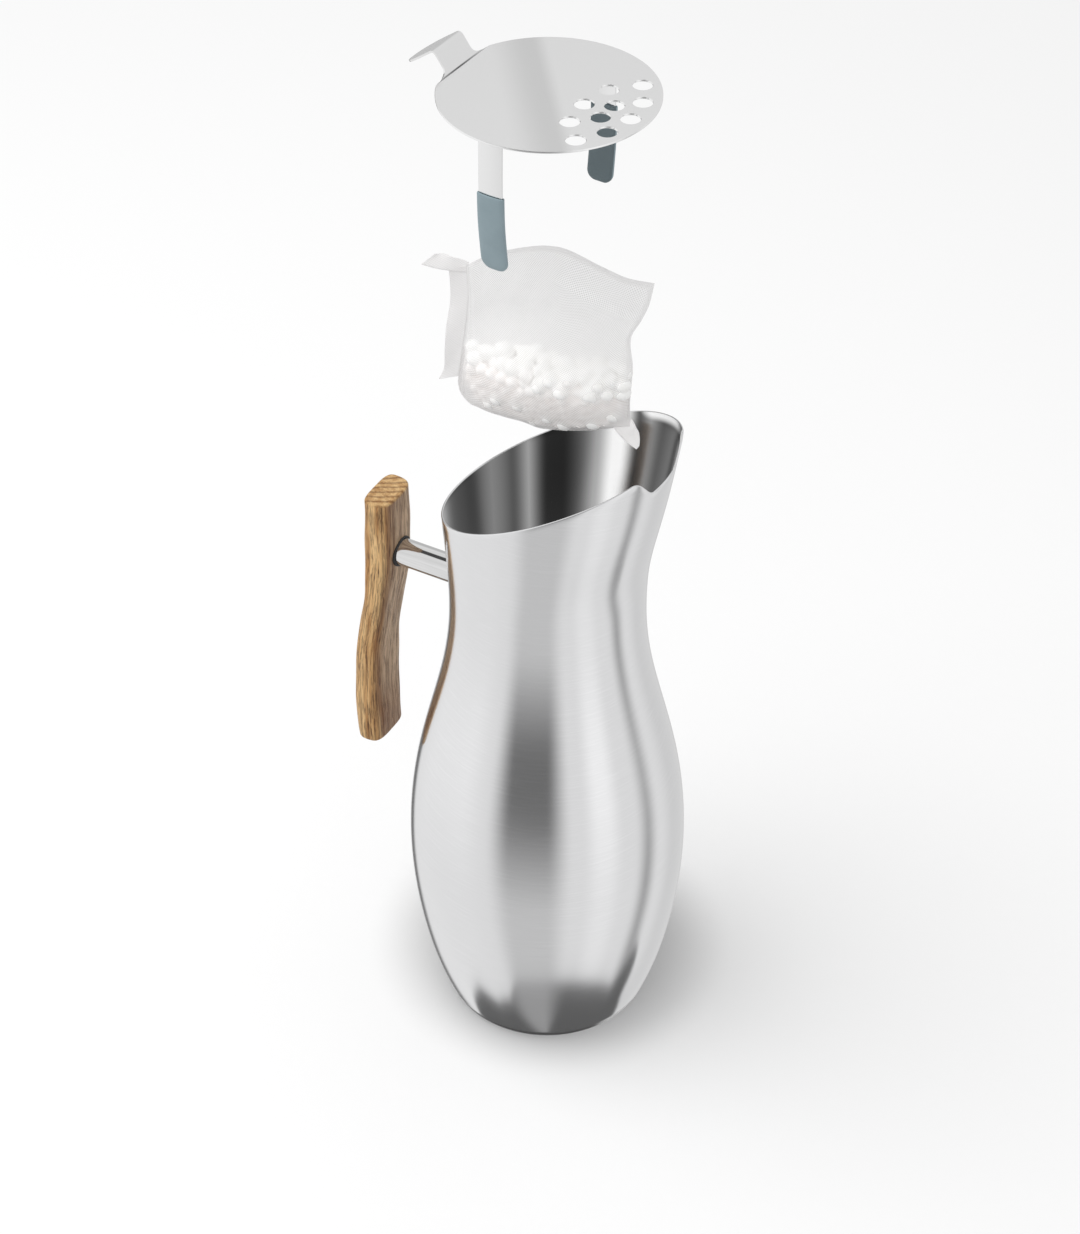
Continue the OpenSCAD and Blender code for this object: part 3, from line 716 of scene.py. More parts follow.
def oak():
    """Rings round the axis of the tree, pores along it, and painted shade on them."""
    material, start = new_material("oak")
    x, y, z = start.place().parts()
    dx = x - TREE_X
    dy = y - TREE_Y
    wobble = start.noise(start.vector(x, y, z * 0.12), 55, 3) - 0.5
    reach = (dx * dx + dy * dy).math("SQRT") + wobble * RING_WOBBLE
    ring = (reach * (2 * math.pi / RING_WIDTH)).math("SINE") * 0.5 + 0.5
    late = ring ** 2.5
    in_grip = start.mark("in_grip")

    def drawn_out(slow, scale, detail, roughness):
        """Noise drawn out along the grip: the smaller slow is, the longer its strokes."""
        return start.noise(start.vector(in_grip, y, z * slow), scale, detail, roughness)

    pores = drawn_out(0.03, 1900, 3, 0.65).step(0.50, 0.57)
    short = drawn_out(0.09, 1300, 2, 0.5).step(0.55, 0.60)
    streak = drawn_out(0.03, 420, 3, 0.6)
    broad = drawn_out(0.08, 110, 2, 0.5).step(0.35, 0.65)
    on_side = z.step(END_FROM, SIDE_TO)
    on_end = 1 - on_side
    # Painted shade: every side but the one along -Y gets a darker, greyer colour, so that side
    # looks lit.
    painted_shade_sides = y.step(-0.0098, -0.0066) * on_side
    lower = z.step(0.150, 0.116)
    pale = painted_shade_sides.tint(written(250, 210, 150), written(222, 190, 154))
    mid = painted_shade_sides.tint(written(188, 138, 82), written(162, 130, 102))
    base = (streak.step(0.38, 0.62) * 0.60 + broad * 0.22 + late * 0.30).tint(pale, mid)
    # Painted shade: one long edge and the lower part turn darker and red-brown.
    painted_edge_shade = start.mark("shaded_corner") * on_side * 0.75 + lower * (painted_shade_sides * 0.42 + 0.17)
    body = painted_edge_shade.tint(base, written(128, 82, 46))
    veins = (pores * 0.52 + short * 0.34) * (on_side * 0.82 + 0.18) + on_end * (late * 0.32 + 0.26)
    deep = streak * 0.6 - pores * 0.7 - short * 0.6
    shader = start.node("BsdfPrincipled", (), {
        "Base Color": veins.tint(body, written(78, 50, 29)),
        "Roughness": pores * 0.15 + late * 0.08 + 0.42,
        "Normal": start.bump(0.5, 0.00025, deep), "Specular IOR Level": 0.4})
    return finished(material, shader)


oak_wood = oak()
print("rings of the oak, mm apart:", round(RING_WIDTH / MM, 1))

# %% [markdown]
# ## The grip
# The grip is flat and sawn to a gentle step, then rounded by hand, so no edge
# is quite straight. Its level section is a rectangle with round corners: inner
# face flat, outer face a little full. The section is carried down a curve, and
# a few slow waves move each edge by half a millimetre, but not at the post.
# Marks tell the oak how far each point is from the middle, and which edge gets painted shade.

# %% Grip mesh
GRIP_TOP, GRIP_LOW = 239.0, 108.3
GRIP_HALF_Y = 11.2
END_ROUND = 1.0
GRIP_SQUARE = 0.55
GRIP_COLS = GRIP_ROWS = 120
CAP_RINGS = 4
DARK_EDGE, DARK_WIDE = 318, 17


def grip_section(clock, half_x, half_y, square):
    """Superellipse: cosine and sine raised to a power under one, with their sign."""
    c, s = np.cos(clock), np.sin(clock)
    return (half_x * np.sign(c) * np.abs(c) ** square, half_y * np.sign(s) * np.abs(s) ** square)


outer_z = [108.3, 111, 128, 145, 159, 174, 189, 202, 218, 228, 239]
outer_x = [-88.4, -88.8, -89.1, -88.6, -87.5, -85.0, -82.4, -81.2, -81.0, -80.7, -80.4]
inner_z = [108.3, 121, 134, 149, 162.5, 176, 189, 199, 216, 239]
inner_x = [-76.3, -76.3, -76.6, -76.2, -75.1, -73.1, -70.8, -69.2, -68.2, -68.1]
turn = np.linspace(0, np.pi / 2, 6)
low_z, high_z = GRIP_LOW + END_ROUND, GRIP_TOP - END_ROUND
grip_z = np.concatenate([low_z - END_ROUND * np.cos(turn),
                         np.linspace(low_z, high_z, GRIP_ROWS)[1:-1],
                         high_z + END_ROUND * np.sin(turn)])
end_in = END_ROUND * (1 - np.sin(turn))
draw_in = np.concatenate([end_in, np.zeros(GRIP_ROWS - 2), end_in[::-1]])
clock = np.linspace(0, 2 * np.pi, GRIP_COLS, endpoint=False)
out_face = through(outer_z, outer_x, grip_z)
in_face = through(inner_z, inner_x, grip_z)
middle = ((out_face + in_face) / 2)[:, None]
half_x = ((in_face - out_face) / 2 - draw_in)[:, None]
dx, dy = grip_section(clock, half_x, (GRIP_HALF_Y - draw_in)[:, None], GRIP_SQUARE)
z = grip_z[:, None]
wave = (0.22 * np.sin(z / 11 + 2 * clock) + 0.16 * np.sin(z / 6.3 + 3 * clock + 1)
        + 0.10 * np.sin(z / 3.7 - 2 * clock))
flat_here = np.exp(-((z - POST_Z) / 12) ** 2) * (np.cos(clock) > 0.2)
scale = 1 + wave * (1 - flat_here) / 12
narrowed = 1 - 0.06 * (dx > 0) * dx / half_x
grid = np.stack([middle + dx * scale, dy * scale * narrowed, z + 0 * clock], -1)

# %% Flat ends of the grip, its marks, and the piece
first, final = [np.stack([middle[k] + 0 * clock, 0 * clock, z[k] + 0 * clock], -1)[None]
                for k in (0, -1)]
cap_steps = np.linspace(0, 1, CAP_RINGS + 1)[:-1, None, None]
low_cap = first + (grid[:1] - first) * cap_steps
top_cap = final + (grid[-1:] - final) * cap_steps[::-1]
grid = np.concatenate([low_cap, grid, top_cap])
centre = np.pad(middle, ((CAP_RINGS, CAP_RINGS), (0, 0)), "edge")
in_grip = (grid[..., 0] - centre) * MM
height = grid[..., 2]
# The dark edge is painted shade, which fades out towards the foot of the grip.
off_edge = np.degrees(clock) - DARK_EDGE + 9 * np.sin(height / 23) + 3 * np.sin(height / 5)
shaded = np.exp(-(off_edge / DARK_WIDE) ** 2) * soft_step((height - 104) / 40)
oak_mesh = surface_mesh("oak_grip", grid, sharp=55,
                        marks={"in_grip": in_grip, "shaded_corner": shaded})
new_piece("oak_grip", oak_mesh, oak_wood, "pitcher", ["wood_handle"])

# %% [markdown]
# ## The metal inside the handle
# A plug, a stud, a lock washer and a brass insert hold the wood to the post.
# Their shape in the frame is right, so they stay and get a finish.

# %% Hidden fittings
def turned_metal(name, colour, roughness):
    """Turned metal: fine rings round the X axis from a noise of the distance along X."""
    material, start = new_material(name)
    x, y, z = start.place().parts()
    tool = start.noise(start.vector(x * 4000, y * 60, z * 60), 1, 2)
    dim = tuple(c * 0.75 for c in colour[:3]) + (1,)
    shader = start.node("BsdfPrincipled", (), {
        "Base Color": tool.step(0.3, 0.7).tint(dim, colour), "Metallic": 1.0,
        "Roughness": tool * 0.2 + roughness, "Normal": start.bump(0.3, 0.0001, tool)})
    return finished(material, shader)


def dress(node, material):
    """Give every slot of a node of the frame this material."""
    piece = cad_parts[node]
    if not piece.material_slots:
        piece.data.materials.append(material)
    for place in piece.material_slots:
        place.material = material


zinc_steel = turned_metal("zinc_steel", written(196, 198, 200), 0.25)
brass = turned_metal("brass", written(214, 178, 104), 0.25)
for node in ["post_plug", "handle_stud", "lock_washer"]:
    dress(node, zinc_steel)
dress("thread_insert", brass)
print("hidden fittings dressed")

# %% [markdown]
# ## The lid
# The lid is a round plate with one straight side and a fan of ten drain holes.
# An outline with holes is easiest as a flat curve: Blender fills it, gives it
# thickness and rounds its edges, and then it is made a mesh. Its steel is satin,
# with one soft darker band across it, a painted reflection, and a mark draws the
# dark line of a weld.

# %% Plate from outlines
LID_TOP = 441.2
LID_T = 0.8
LID_R = 39.93
LID_TURN = math.radians(-3.5)
CHORD_X = 36.2
HOLE_R = 3.65
FAN_R = 33.3
FAN_STEP = math.radians(20.9)
EDGE = 0.16


def lid_turned(points):
    """Turn points about the axis of the jug, as the lid is turned from the spout."""
    turned = np.array(points)
    c, s = math.cos(LID_TURN), math.sin(LID_TURN)
    turned[..., 0] = points[..., 0] * c - points[..., 1] * s
    turned[..., 1] = points[..., 0] * s + points[..., 1] * c
    return turned


def circle(cx, cy, r, count, clockwise=False):
    """Points round a circle. Those of a hole run clockwise, against the outline."""
    turn = np.linspace(0, 2 * np.pi, count, endpoint=False) * (-1 if clockwise else 1)
    return np.stack([cx + r * np.cos(turn), cy + r * np.sin(turn)], -1)


def plate_mesh(name, outlines, top, thick, edge):
    """A flat plate from closed outlines in millimetres, its edges rounded by edge."""
    curve = bpy.data.curves.new(name, "CURVE")
    curve.dimensions = "2D"
    curve.fill_mode = "BOTH"
    curve.extrude = (thick / 2 - edge) * MM
    curve.bevel_depth = edge * MM
    curve.bevel_resolution = 3
    curve.offset = -edge * MM
    for outline in outlines:
        spline = curve.splines.new("POLY")
        spline.points.add(len(outline) - 1)
        points = np.zeros((len(outline), 4))
        points[:, :2] = outline * MM
        points[:, 3] = 1
        spline.points.foreach_set("co", points.ravel())
        spline.use_cyclic_u = True
    shape = bpy.data.objects.new(name + "_outline", curve)
    scene.collection.objects.link(shape)
    bpy.context.view_layer.update()
    worked_out = bpy.context.evaluated_depsgraph_get()
    mesh = bpy.data.meshes.new_from_object(shape.evaluated_get(worked_out))
    bpy.data.objects.remove(shape)
    mesh.name = name
    work = bmesh.new()
    work.from_mesh(mesh)
    bmesh.ops.translate(work, verts=work.verts, vec=(0, 0, (top - thick / 2) * MM))
    bmesh.ops.remove_doubles(work, verts=work.verts, dist=1e-6)
    bmesh.ops.recalc_face_normals(work, faces=work.faces)
    work.to_mesh(mesh)
    work.free()
    mesh.update()
    mesh.polygons.foreach_set("use_smooth", np.abs(face_normals(mesh)[:, 2]) < 0.999)
    return mesh


lid_half = math.acos(-CHORD_X / LID_R)
rim_turn = np.linspace(-lid_half, lid_half, 220)
lid_edge = np.stack([LID_R * np.cos(rim_turn), LID_R * np.sin(rim_turn)], -1)
hole_places = [(FAN_R * math.cos(a), FAN_R * math.sin(a)) for a in FAN_STEP * np.arange(-2, 3)]
hole_places += [(23.9, 4.7), (23.9, -4.7), (16.57, 12.88), (16.57, -12.88), (14.5, 0)]
holes = [circle(cx, cy, HOLE_R, 56, clockwise=True) for cx, cy in hole_places]
outlines = [lid_turned(outline) for outline in [lid_edge] + holes]
lid_mesh = plate_mesh("lid_plate", outlines, LID_TOP, LID_T, EDGE)
print("holes in the lid:", len(holes))

# %% Satin steel, and the lid
def satin_steel(name, light, dark, roughness):
    """Satin steel with a soft darker band along a line, a painted reflection, and dark where it is
    welded.
    """
    material, start = new_material(name)
    x, y, z = start.place().parts()
    off_line = x + y * 0.73 + 0.003
    # The band is a painted reflection: a darker stripe across the sheen of the plate.
    band = off_line.step(-0.020, -0.001) * off_line.step(0.009, 0.001)
    plain = band.tint(written(light, light, light), written(dark, dark, dark))
    drawn = start.noise(start.vector(x * 90, y * 2600, z * 2600), 1, 2)
    shader = start.node("BsdfPrincipled", (), {
        "Base Color": start.mark("weld").tint(plain, written(84, 84, 86)), "Metallic": 1.0,
        "Roughness": drawn * 0.03 + roughness, "Normal": start.bump(0.02, 0.00005, drawn)})
    return finished(material, shader)


lid_steel = satin_steel("lid_steel", 243, 223, 0.22)
tab_steel = satin_steel("tab_steel", 234, 234, 0.24)
new_piece("lid_plate", lid_mesh, lid_steel, "lid", ["lid_disc"])

# %% [markdown]
# ## The thumb tab
# A second plate is welded to the straight side of the lid. It rises, folds
# over and ends in a rounded tongue for the thumb. Its middle surface is a
# line carried sideways: the line goes up the riser, round the fold and down
# the tongue, and each place across has its own half width and its own end. A
# mark draws the dark line of the weld along its foot.

# %% Helpers for bent plates
def bent_line(points, radii, step=0.35):
    """A line through corner points, each corner replaced by an arc of its radius."""
    points = np.asarray(points, float)
    pieces = [points[:1]]
    for before, here, after, radius in zip(points[:-2], points[1:-1], points[2:], radii):
        a = (before - here) / np.linalg.norm(before - here)
        b = (after - here) / np.linalg.norm(after - here)
        half = math.acos(float(np.clip(a @ b, -1, 1))) / 2
        reach = radius / math.tan(half)
        centre = here + (a + b) / np.linalg.norm(a + b) * radius / math.sin(half)
        u, v = here + a * reach - centre, here + b * reach - centre
        sweep = math.pi - 2 * half
        t = np.linspace(0, 1, 9)[:, None]
        arc = (u * np.sin((1 - t) * sweep) + v * np.sin(t * sweep)) / math.sin(sweep)
        pieces.append(centre + arc)
    pieces.append(points[-1:])
    line = np.concatenate(pieces)
    length = np.concatenate([[0], np.cumsum(np.linalg.norm(np.diff(line, axis=0), axis=1))])
    even = np.linspace(0, length[-1], max(8, int(length[-1] / step)))
    return np.stack([np.interp(even, length, line[:, k]) for k in range(2)], -1), even


def thickened(piece, thick, edge):
    """Give a middle surface its thickness and small rounded edges, as modifiers."""
    solid = piece.modifiers.new("thickness", "SOLIDIFY")
    solid.thickness = thick * MM
    solid.offset = 0
    solid.use_even_offset = True
    bevel = piece.modifiers.new("edges", "BEVEL")
    bevel.width = edge * MM
    bevel.segments = 2
    bevel.limit_method = "ANGLE"
    bevel.angle_limit = math.radians(50)
    bevel.harden_normals = True


print("helpers for bent plates ready")

# %% Thumb tab
FOLD_X, FOLD_Z = -42.8, 449.3
TIP_X, TIP_Z = -57.0, 438.9
TAB_BENDS = [0.9, 1.6]
TAB_HALF = 8.6
FOOT_WIDER, FOOT_HIGH = 7.2, 5.5
TONGUE_ROUND = 8.2
TAB_EDGE = 0.10
WELD_SOFT = 0.35

mid_z = LID_TOP - LID_T / 2
tab_line, run = bent_line([(-CHORD_X - 0.30, mid_z), (-CHORD_X - 0.6, mid_z),
                           (FOLD_X, FOLD_Z - LID_T / 2), (TIP_X, TIP_Z - LID_T / 2)], TAB_BENDS)
across = np.linspace(-1, 1, 41)
half_w = TAB_HALF + FOOT_WIDER * (1 - np.clip(run / FOOT_HIGH, 0, 1)) ** 4.5
short_by = TONGUE_ROUND * (1 - np.sqrt(1 - np.abs(across) ** 2.3 * 0.999))
tip_share = 1 - short_by / (FOLD_X - TIP_X)
line_at = np.cumsum(np.r_[0, np.linalg.norm(np.diff(tab_line, axis=0), axis=1)])
fold_at = np.interp(-FOLD_X, -tab_line[:, 0], line_at)
at = line_at[:, None] + 0 * across
stretch = np.where(at > fold_at, fold_at + (at - fold_at) * tip_share, at)
tab_x, tab_z, tab_half = [np.interp(stretch, line_at, k) for k in (*tab_line.T, half_w)]
grid = np.stack([tab_x, tab_half * across, tab_z], -1)
mid_weld = (1 - np.abs(across + 0.15) ** 1.5).clip(0, 1)
weld_line = soft_step((1.0 - run[:, None]) / WELD_SOFT) * (0.35 + 0.65 * mid_weld)
tab_mesh = surface_mesh("thumb_lever", lid_turned(grid), round_cols=False,
                        marks={"weld": weld_line})
thumb_lever = new_piece("thumb_lever", tab_mesh, tab_steel, "lid", ["thumb_tab"])
thickened(thumb_lever, LID_T - 0.02, TAB_EDGE)

# %% [markdown]
# ## The sprung legs
# Two strips of spring steel hang under the lid. Each is welded on by a short
# foot, turns down in a tight bend and bows a little. It is curved across as
# well, so that it lies against the round neck.

# %% Leg strips
LEG_R = 37.5
LEG_W = 9.8
LEG_T = 0.6
LEG_LOW = 387.4
LEG_SINK = 1.6
LEG_FOOT = 6.5
LEG_BEND = 1.0
LEG_LEAN, LEG_BELLY = 2.3, 0.35
LEG_EDGE = 0.08

strip_steel = satin_steel("strip_steel", 236, 236, 0.2)
strip_z = LID_TOP - LID_T - LEG_T / 2
leg_line, _ = bent_line([(LEG_R - LEG_FOOT, strip_z), (LEG_R, strip_z),
                         (LEG_R, LEG_LOW + LEG_SINK)], [LEG_BEND])


def leg_lean(z):
    """How far the leg leans in: a little out in the middle, and in at its tip."""
    down = np.clip((LID_TOP - z) / (LID_TOP - LEG_LOW), 0, 1)
    belly = LEG_BELLY * np.sin(np.pi * np.clip(down / 0.8, 0, 1))
    return LEG_LEAN * np.clip(down / 0.5 - 1, 0, 1) ** 2 - belly


def mirrored(grid, side_sign):
    """A grid for the left leg, or for the right one: y turned over, and the faces too."""
    grid = grid * [1, side_sign, 1]
    return lid_turned(grid if side_sign > 0 else grid[:, ::-1])


# Each point across goes round the axis by its width over the reach of the strip,
# so the strip is curved as the neck is.
SIDES = (("left", 1), ("right", -1))
reach, z = leg_line[:, :1], leg_line[:, 1:]
turn = np.linspace(-1, 1, 17) * (LEG_W / 2 / LEG_R)
y = reach - leg_lean(z) - LEG_R * (1 - np.cos(turn))
leg_grid = np.stack([LEG_R * np.sin(turn) + 0 * y, y, z + 0 * y], -1)
for side, side_sign in SIDES:
    name = f"leg_strip_{side}"
    strip_mesh = surface_mesh(name, mirrored(leg_grid, side_sign), round_cols=False)
    strip = new_piece(name, strip_mesh, strip_steel, "lid", [f"spring_leg_{side}"])
    thickened(strip, LEG_T, LEG_EDGE)

# %% [markdown]
# ## The silicone sleeves
# A sock of soft silicone covers the lower half of each strip and grips the
# neck. It is a flat tube with full round edges. Its lower corners are round,
# and its upper end has a lip that turns in to the strip. The section is a
# superellipse, carried up the leg, that shrinks to a point at the lower end.
# The faces that look inwards get a darker silicone, as less light reaches them.

# %% Sleeves
SLEEVE_LEN = 31.6
SLEEVE_W = 10.9
SLEEVE_T = 2.0
SLEEVE_CORNER = 4.0
SLEEVE_SQUARE = 0.42
LIP_W, LIP_T = [5.12, 5.1], [0.52, 0.5]
SIDE_ROWS = 29

silicone = moulded("silicone", written(143, 161, 168), written(136, 154, 161), 0.42, 0.1)
silicone_inside = moulded("silicone_inside", written(102, 116, 121), written(96, 110, 115),
                          0.5, 0.1)
half_w, half_t = SLEEVE_W / 2, SLEEVE_T / 2
turn = np.linspace(0.08, np.pi / 2, 14)
sleeve_z = np.concatenate([SLEEVE_CORNER * (1 - np.cos(turn)),
                           np.linspace(SLEEVE_CORNER, SLEEVE_LEN - 0.4, SIDE_ROWS + 1)[1:],
                           [SLEEVE_LEN - 0.12, SLEEVE_LEN, SLEEVE_LEN, SLEEVE_LEN - 0.8]])
sleeve_w = np.concatenate([half_w - SLEEVE_CORNER * (1 - np.sin(turn)), np.full(SIDE_ROWS, half_w),
                           [half_w - 0.05, half_w - 0.2, *LIP_W]])
sleeve_t = np.concatenate([half_t * np.sin(turn) ** 0.5, np.full(SIDE_ROWS, half_t),
                           [half_t - 0.05, half_t - 0.2, *LIP_T]])
clock = np.linspace(0, 2 * np.pi, 72, endpoint=False)
width, thick = grip_section(clock, sleeve_w[:, None], sleeve_t[:, None], SLEEVE_SQUARE)
z = LEG_LOW + sleeve_z[:, None]
x = (LEG_R + thick) * np.sin(width / LEG_R)
y = (LEG_R + thick) * np.cos(width / LEG_R) - leg_lean(z)
sleeve_grid = np.stack([x, y, z + 0 * x], -1)
for side, side_sign in SIDES:
    name = f"sleeve_{side}"
    grid = mirrored(sleeve_grid, side_sign)
    low_point, inner_point = [ring.mean(axis=1, keepdims=True) + 0 * ring
                              for ring in (grid[:1], grid[-1:])]
    grid = np.concatenate([low_point, grid, inner_point])
    sleeve = new_piece(name, surface_mesh(name, grid, sharp=60), silicone, "lid",
                       [f"silicone_sleeve_{side}"])
    sleeve.data.materials.append(silicone_inside)
    inward = face_normals(sleeve.data)[:, 1] * side_sign < -0.3
    sleeve.data.polygons.foreach_set("material_index", inward.astype(np.int32))

# %% [markdown]
# ## The cloth of the pouch
# The pouch is a fine open net. Its threads cross at right angles, and the gaps
# between them let the light and the beads show through. The pattern reads the
# cloth's own flat positions in metres, so it bends with the cloth. A thread is
# where either of two cosines is high, and the cover says how much of what lies
# behind is hidden, there and in the gaps. A mark makes the sewn edges denser.
# White things pass much light to each other. Part of it gets lost in a render,
# and a small emission on the loose cloth and on the beads stands for it.

# %% Net material
THREAD_PITCH = 0.00060
OPEN_WEAVE = 1.45
NET_LONG, NET_SHORT = 0.80, 0.60
LOW_COVER, SEAM_COVER = 0.62, 0.72
LIGHT_THROUGH = 0.42


def net_cloth(name, gap_cover, thread_cover, seam_rows, lit_within):
    """Net with threads of thread_cover and gaps of gap_cover, from 0 to 1 opaque."""
    material, start = new_material(name)
    flat_place = start.node("UVMap", {"uv_map": "flat"})
    u, v, _ = flat_place.parts()
    sway = start.noise(flat_place, 130, 2) - 0.5
    turns = 2 * math.pi / THREAD_PITCH
    lean_u = (u * NET_LONG + v * NET_SHORT + sway * 0.0007) * turns
    lean_v = (v * NET_LONG - u * NET_SHORT + sway * 0.0009) * turns
    warp = lean_u.math("COSINE") * 0.5 + 0.5
    weft = lean_v.math("COSINE") * 0.5 + 0.5
    thread = warp.math("MAXIMUM", weft)
    mask = thread.step(0.45, 0.95)
    dense = start.noise(flat_place, 60, 3).step(0.3, 0.75)
    cover = mask * (thread_cover - gap_cover) + gap_cover + dense * 0.06
    colour = mask.tint(written(240, 238, 237), written(247, 246, 246))
    if seam_rows:
        low_zone = (v + u * 0.1 + sway * 0.006).step(-0.0150, -0.0180)
        wide_warp = (lean_u / OPEN_WEAVE).math("COSINE")
        wide_weft = (lean_v / OPEN_WEAVE).math("COSINE")
        wide_mask = wide_warp.math("MAXIMUM", wide_weft).step(0.2, 0.9)
        # Towards the bottom the net turns white with wider grey threads.
        low_net_tone = wide_mask.tint(written(255, 255, 255), written(196, 189, 187))
        colour = low_zone.tint(colour, low_net_tone)
        cover = toward(cover, LOW_COVER, low_zone)
        cover = toward(cover, SEAM_COVER, start.mark("seam"))
    front = start.node("BsdfPrincipled", (), {
        "Base Color": colour, "Roughness": 0.85, "Normal": start.bump(0.2, 0.0002, thread),
        "Specular IOR Level": 0.2, "Sheen Weight": 0.15,
        "Emission Color": colour, "Emission Strength": lit_within})
    glow_through = start.node("BsdfTranslucent", (), {"Color": (0.9, 0.9, 0.9, 1)})
    cloth = start.node("MixShader", (), {0: LIGHT_THROUGH, 1: front, 2: glow_through})
    clear = start.node("BsdfTransparent")
    share = cover.math("MINIMUM", 1)
    return finished(material, start.node("MixShader", (), {0: share, 1: clear, 2: cloth}))


pouch_net = net_cloth("pouch_net", 0.34, 0.54, True, 0.0)
edge_net = net_cloth("edge_net", 0.84, 0.95, False, 0.09)
flap_net = net_cloth("flap_net", 0.97, 1.0, False, 0.24)
print("threads in a centimetre:", round(0.01 / THREAD_PITCH, 1))

# %% [markdown]
# ## The shape of the pouch
# Two sheets are joined at their edges. Between four edge curves the flat shape
# is filled in: each point is a blend of the curves across and up, less the
# blend of the four corners. Then the sheets part: most where the beads lie,
# little above, and not at all at the seams. Slow folds run down from the
# upper corners, and one runs along the upper right edge.

# %% Flat shape and fullness of the pouch
# Each edge: stations from -1 to 1 along it, and x and z there, in millimetres.
LOW_EDGE = ([-1, -0.96, -0.9, -0.78, -0.55, -0.33, -0.16, 0.06, 0.32, 0.58, 0.79, 1],
            [-39.6, -38.9, -36.0, -29.5, -19.4, -10.8, -4.5, 3.0, 12.3, 21.4, 27.7, 35.0],
            [304.5, 300.6, 296.9, 295.2, 294.9, 295.4, 295.0, 296.6, 299.5, 303.2, 306.2, 309.6])
TOP_EDGE = ([-1, -0.75, -0.5, -0.3, 0, 0.2, 0.5, 0.75, 1],
            [-34.4, -27.5, -17.6, -10.7, -0.5, 6.3, 21.4, 32.0, 43.2],
            [359.5, 365.0, 371.0, 374.2, 377.6, 378.2, 375.2, 373.9, 375.6])
LEFT_EDGE = ([-1, -0.75, -0.35, 0.1, 0.55, 1], [-39.6, -38.8, -36.6, -34.7, -33.9, -34.4],
             [304.5, 311.0, 323.5, 336.5, 348.0, 359.5])
RIGHT_EDGE = ([-1, -0.7, -0.2, 0.3, 0.6, 0.8, 1], [35.0, 34.6, 35.4, 34.6, 38.6, 41.4, 43.2],
              [309.6, 319, 336, 350, 358.5, 366, 375.6])
ENDS = np.array([-1.0, 1.0])
FILL_TOP = -0.06
HALF_THICK = 11.5


def smooth_edge(edge, at):
    """Places on an edge curve: x and z, each a smooth curve through its stations."""
    return np.stack([through(edge[0], edge[1], at), through(edge[0], edge[2], at)], -1)


def flat_pouch(u, v):
    """Place in the plane of the seams: edges blended both ways, less the corners."""
    s, t = (u[..., None] + 1) / 2, (v[..., None] + 1) / 2
    low, top = smooth_edge(LOW_EDGE, u), smooth_edge(TOP_EDGE, u)
    left, right = smooth_edge(LEFT_EDGE, v), smooth_edge(RIGHT_EDGE, v)
    (c00, c10), (c01, c11) = smooth_edge(LOW_EDGE, ENDS), smooth_edge(TOP_EDGE, ENDS)
    corners = (1 - s) * (1 - t) * c00 + s * (1 - t) * c10 + (1 - s) * t * c01 + s * t * c11
    return (1 - t) * low + t * top + (1 - s) * left + s * right - corners


def half_gap(u, v):
    """How far a sheet stands off the plane of the seams: full at the beads."""
    wide = np.clip(1 - np.abs(u / 0.95) ** 2.4, 0, 1) ** 0.62
    swell = np.sqrt(soft_step((v + 0.97) / 0.62))
    empty = soft_step((v - FILL_TOP + 0.35) / 0.85)
    upper = 0.16 * soft_step((0.95 - v) / 0.5)
    return HALF_THICK * wide * swell * ((1 - empty) + upper * empty)


fullest = 2 * float(half_gap(np.array(0.0), np.array(-0.4)))
print("pouch at its fullest, mm:", round(fullest, 1))

# %% Sheets of the pouch
SHEET_COLS, SHEET_ROWS = 150, 150
CLOTH_WIDE, CLOTH_HIGH = 0.0744, 0.0730
SEAM_IN, STITCHES = 0.915, 0.95


def pouch_sheet(name, side, replaced):
    """One sheet: side is -1 for the front and 1 for the back."""
    u, v = np.meshgrid(np.sin(np.linspace(-1, 1, SHEET_COLS) * np.pi / 2 * 0.999),
                       np.linspace(-1, 1, SHEET_ROWS))
    place = flat_pouch(u, v)
    out = half_gap(u, v)
    inner = np.clip(1 - np.maximum(np.abs(u), np.abs(v)) ** 8, 0, 1)
    # Each fold: its depth in millimetres, its course, and the zone where it fades in.
    crease = 1.3 * np.exp(-((v - 0.70 + 0.10 * u) / 0.055) ** 2) * soft_step((u + 0.2) / 0.5)
    fold_left = 1.5 * np.exp(-((u + 0.86) / 0.06) ** 2) * soft_step((v + 0.7) / 0.5)
    pulls = 0.5 * np.sin(9 * u + 5 * v + 1.5) * soft_step((v + 0.1) / 0.6)
    pulls = pulls + 0.35 * np.sin(17 * u - 9 * v) * soft_step((v - 0.1) / 0.6)
    ripple = 0.25 * np.sin(23 * u + 7 * np.sin(4 * v)) * soft_step((-0.4 - v) / 0.4)
    lumps = 0.30 * np.sin(31 * u + 3 * v) * np.sin(29 * v - 5 * u) * soft_step((0.05 - v) / 0.3)
    folds = (crease + fold_left + pulls + ripple + lumps) * inner
    sway = 1.2 * np.sin(2.4 * u + 0.6) * soft_step((v + 0.2) / 1.2)
    y = side * (0.18 + out) + side * folds * 0.8 + sway
    grid = np.stack([place[..., 0], y, place[..., 1]], -1)
    uv = np.stack([u * (CLOTH_WIDE / 2), v * (CLOTH_HIGH / 2)], -1)
    edge = np.maximum(np.abs(u), np.abs(v))
    band = soft_step((edge - SEAM_IN) / 0.02) * (1 - 0.55 * (np.abs(edge - STITCHES) < 0.006))
    order = slice(None) if side < 0 else slice(None, None, -1)
    mesh = surface_mesh(name, grid[:, order], round_cols=False, uv=uv[:, order],
                        marks={"seam": band[:, order]})
    piece = new_piece(name, mesh, pouch_net, "filter_pouch", [replaced])
    piece.visible_shadow = False
    piece.visible_diffuse = False


pouch_sheet("front_cloth", -1, "pouch_front_sheet")
pouch_sheet("back_cloth", 1, "pouch_back_sheet")

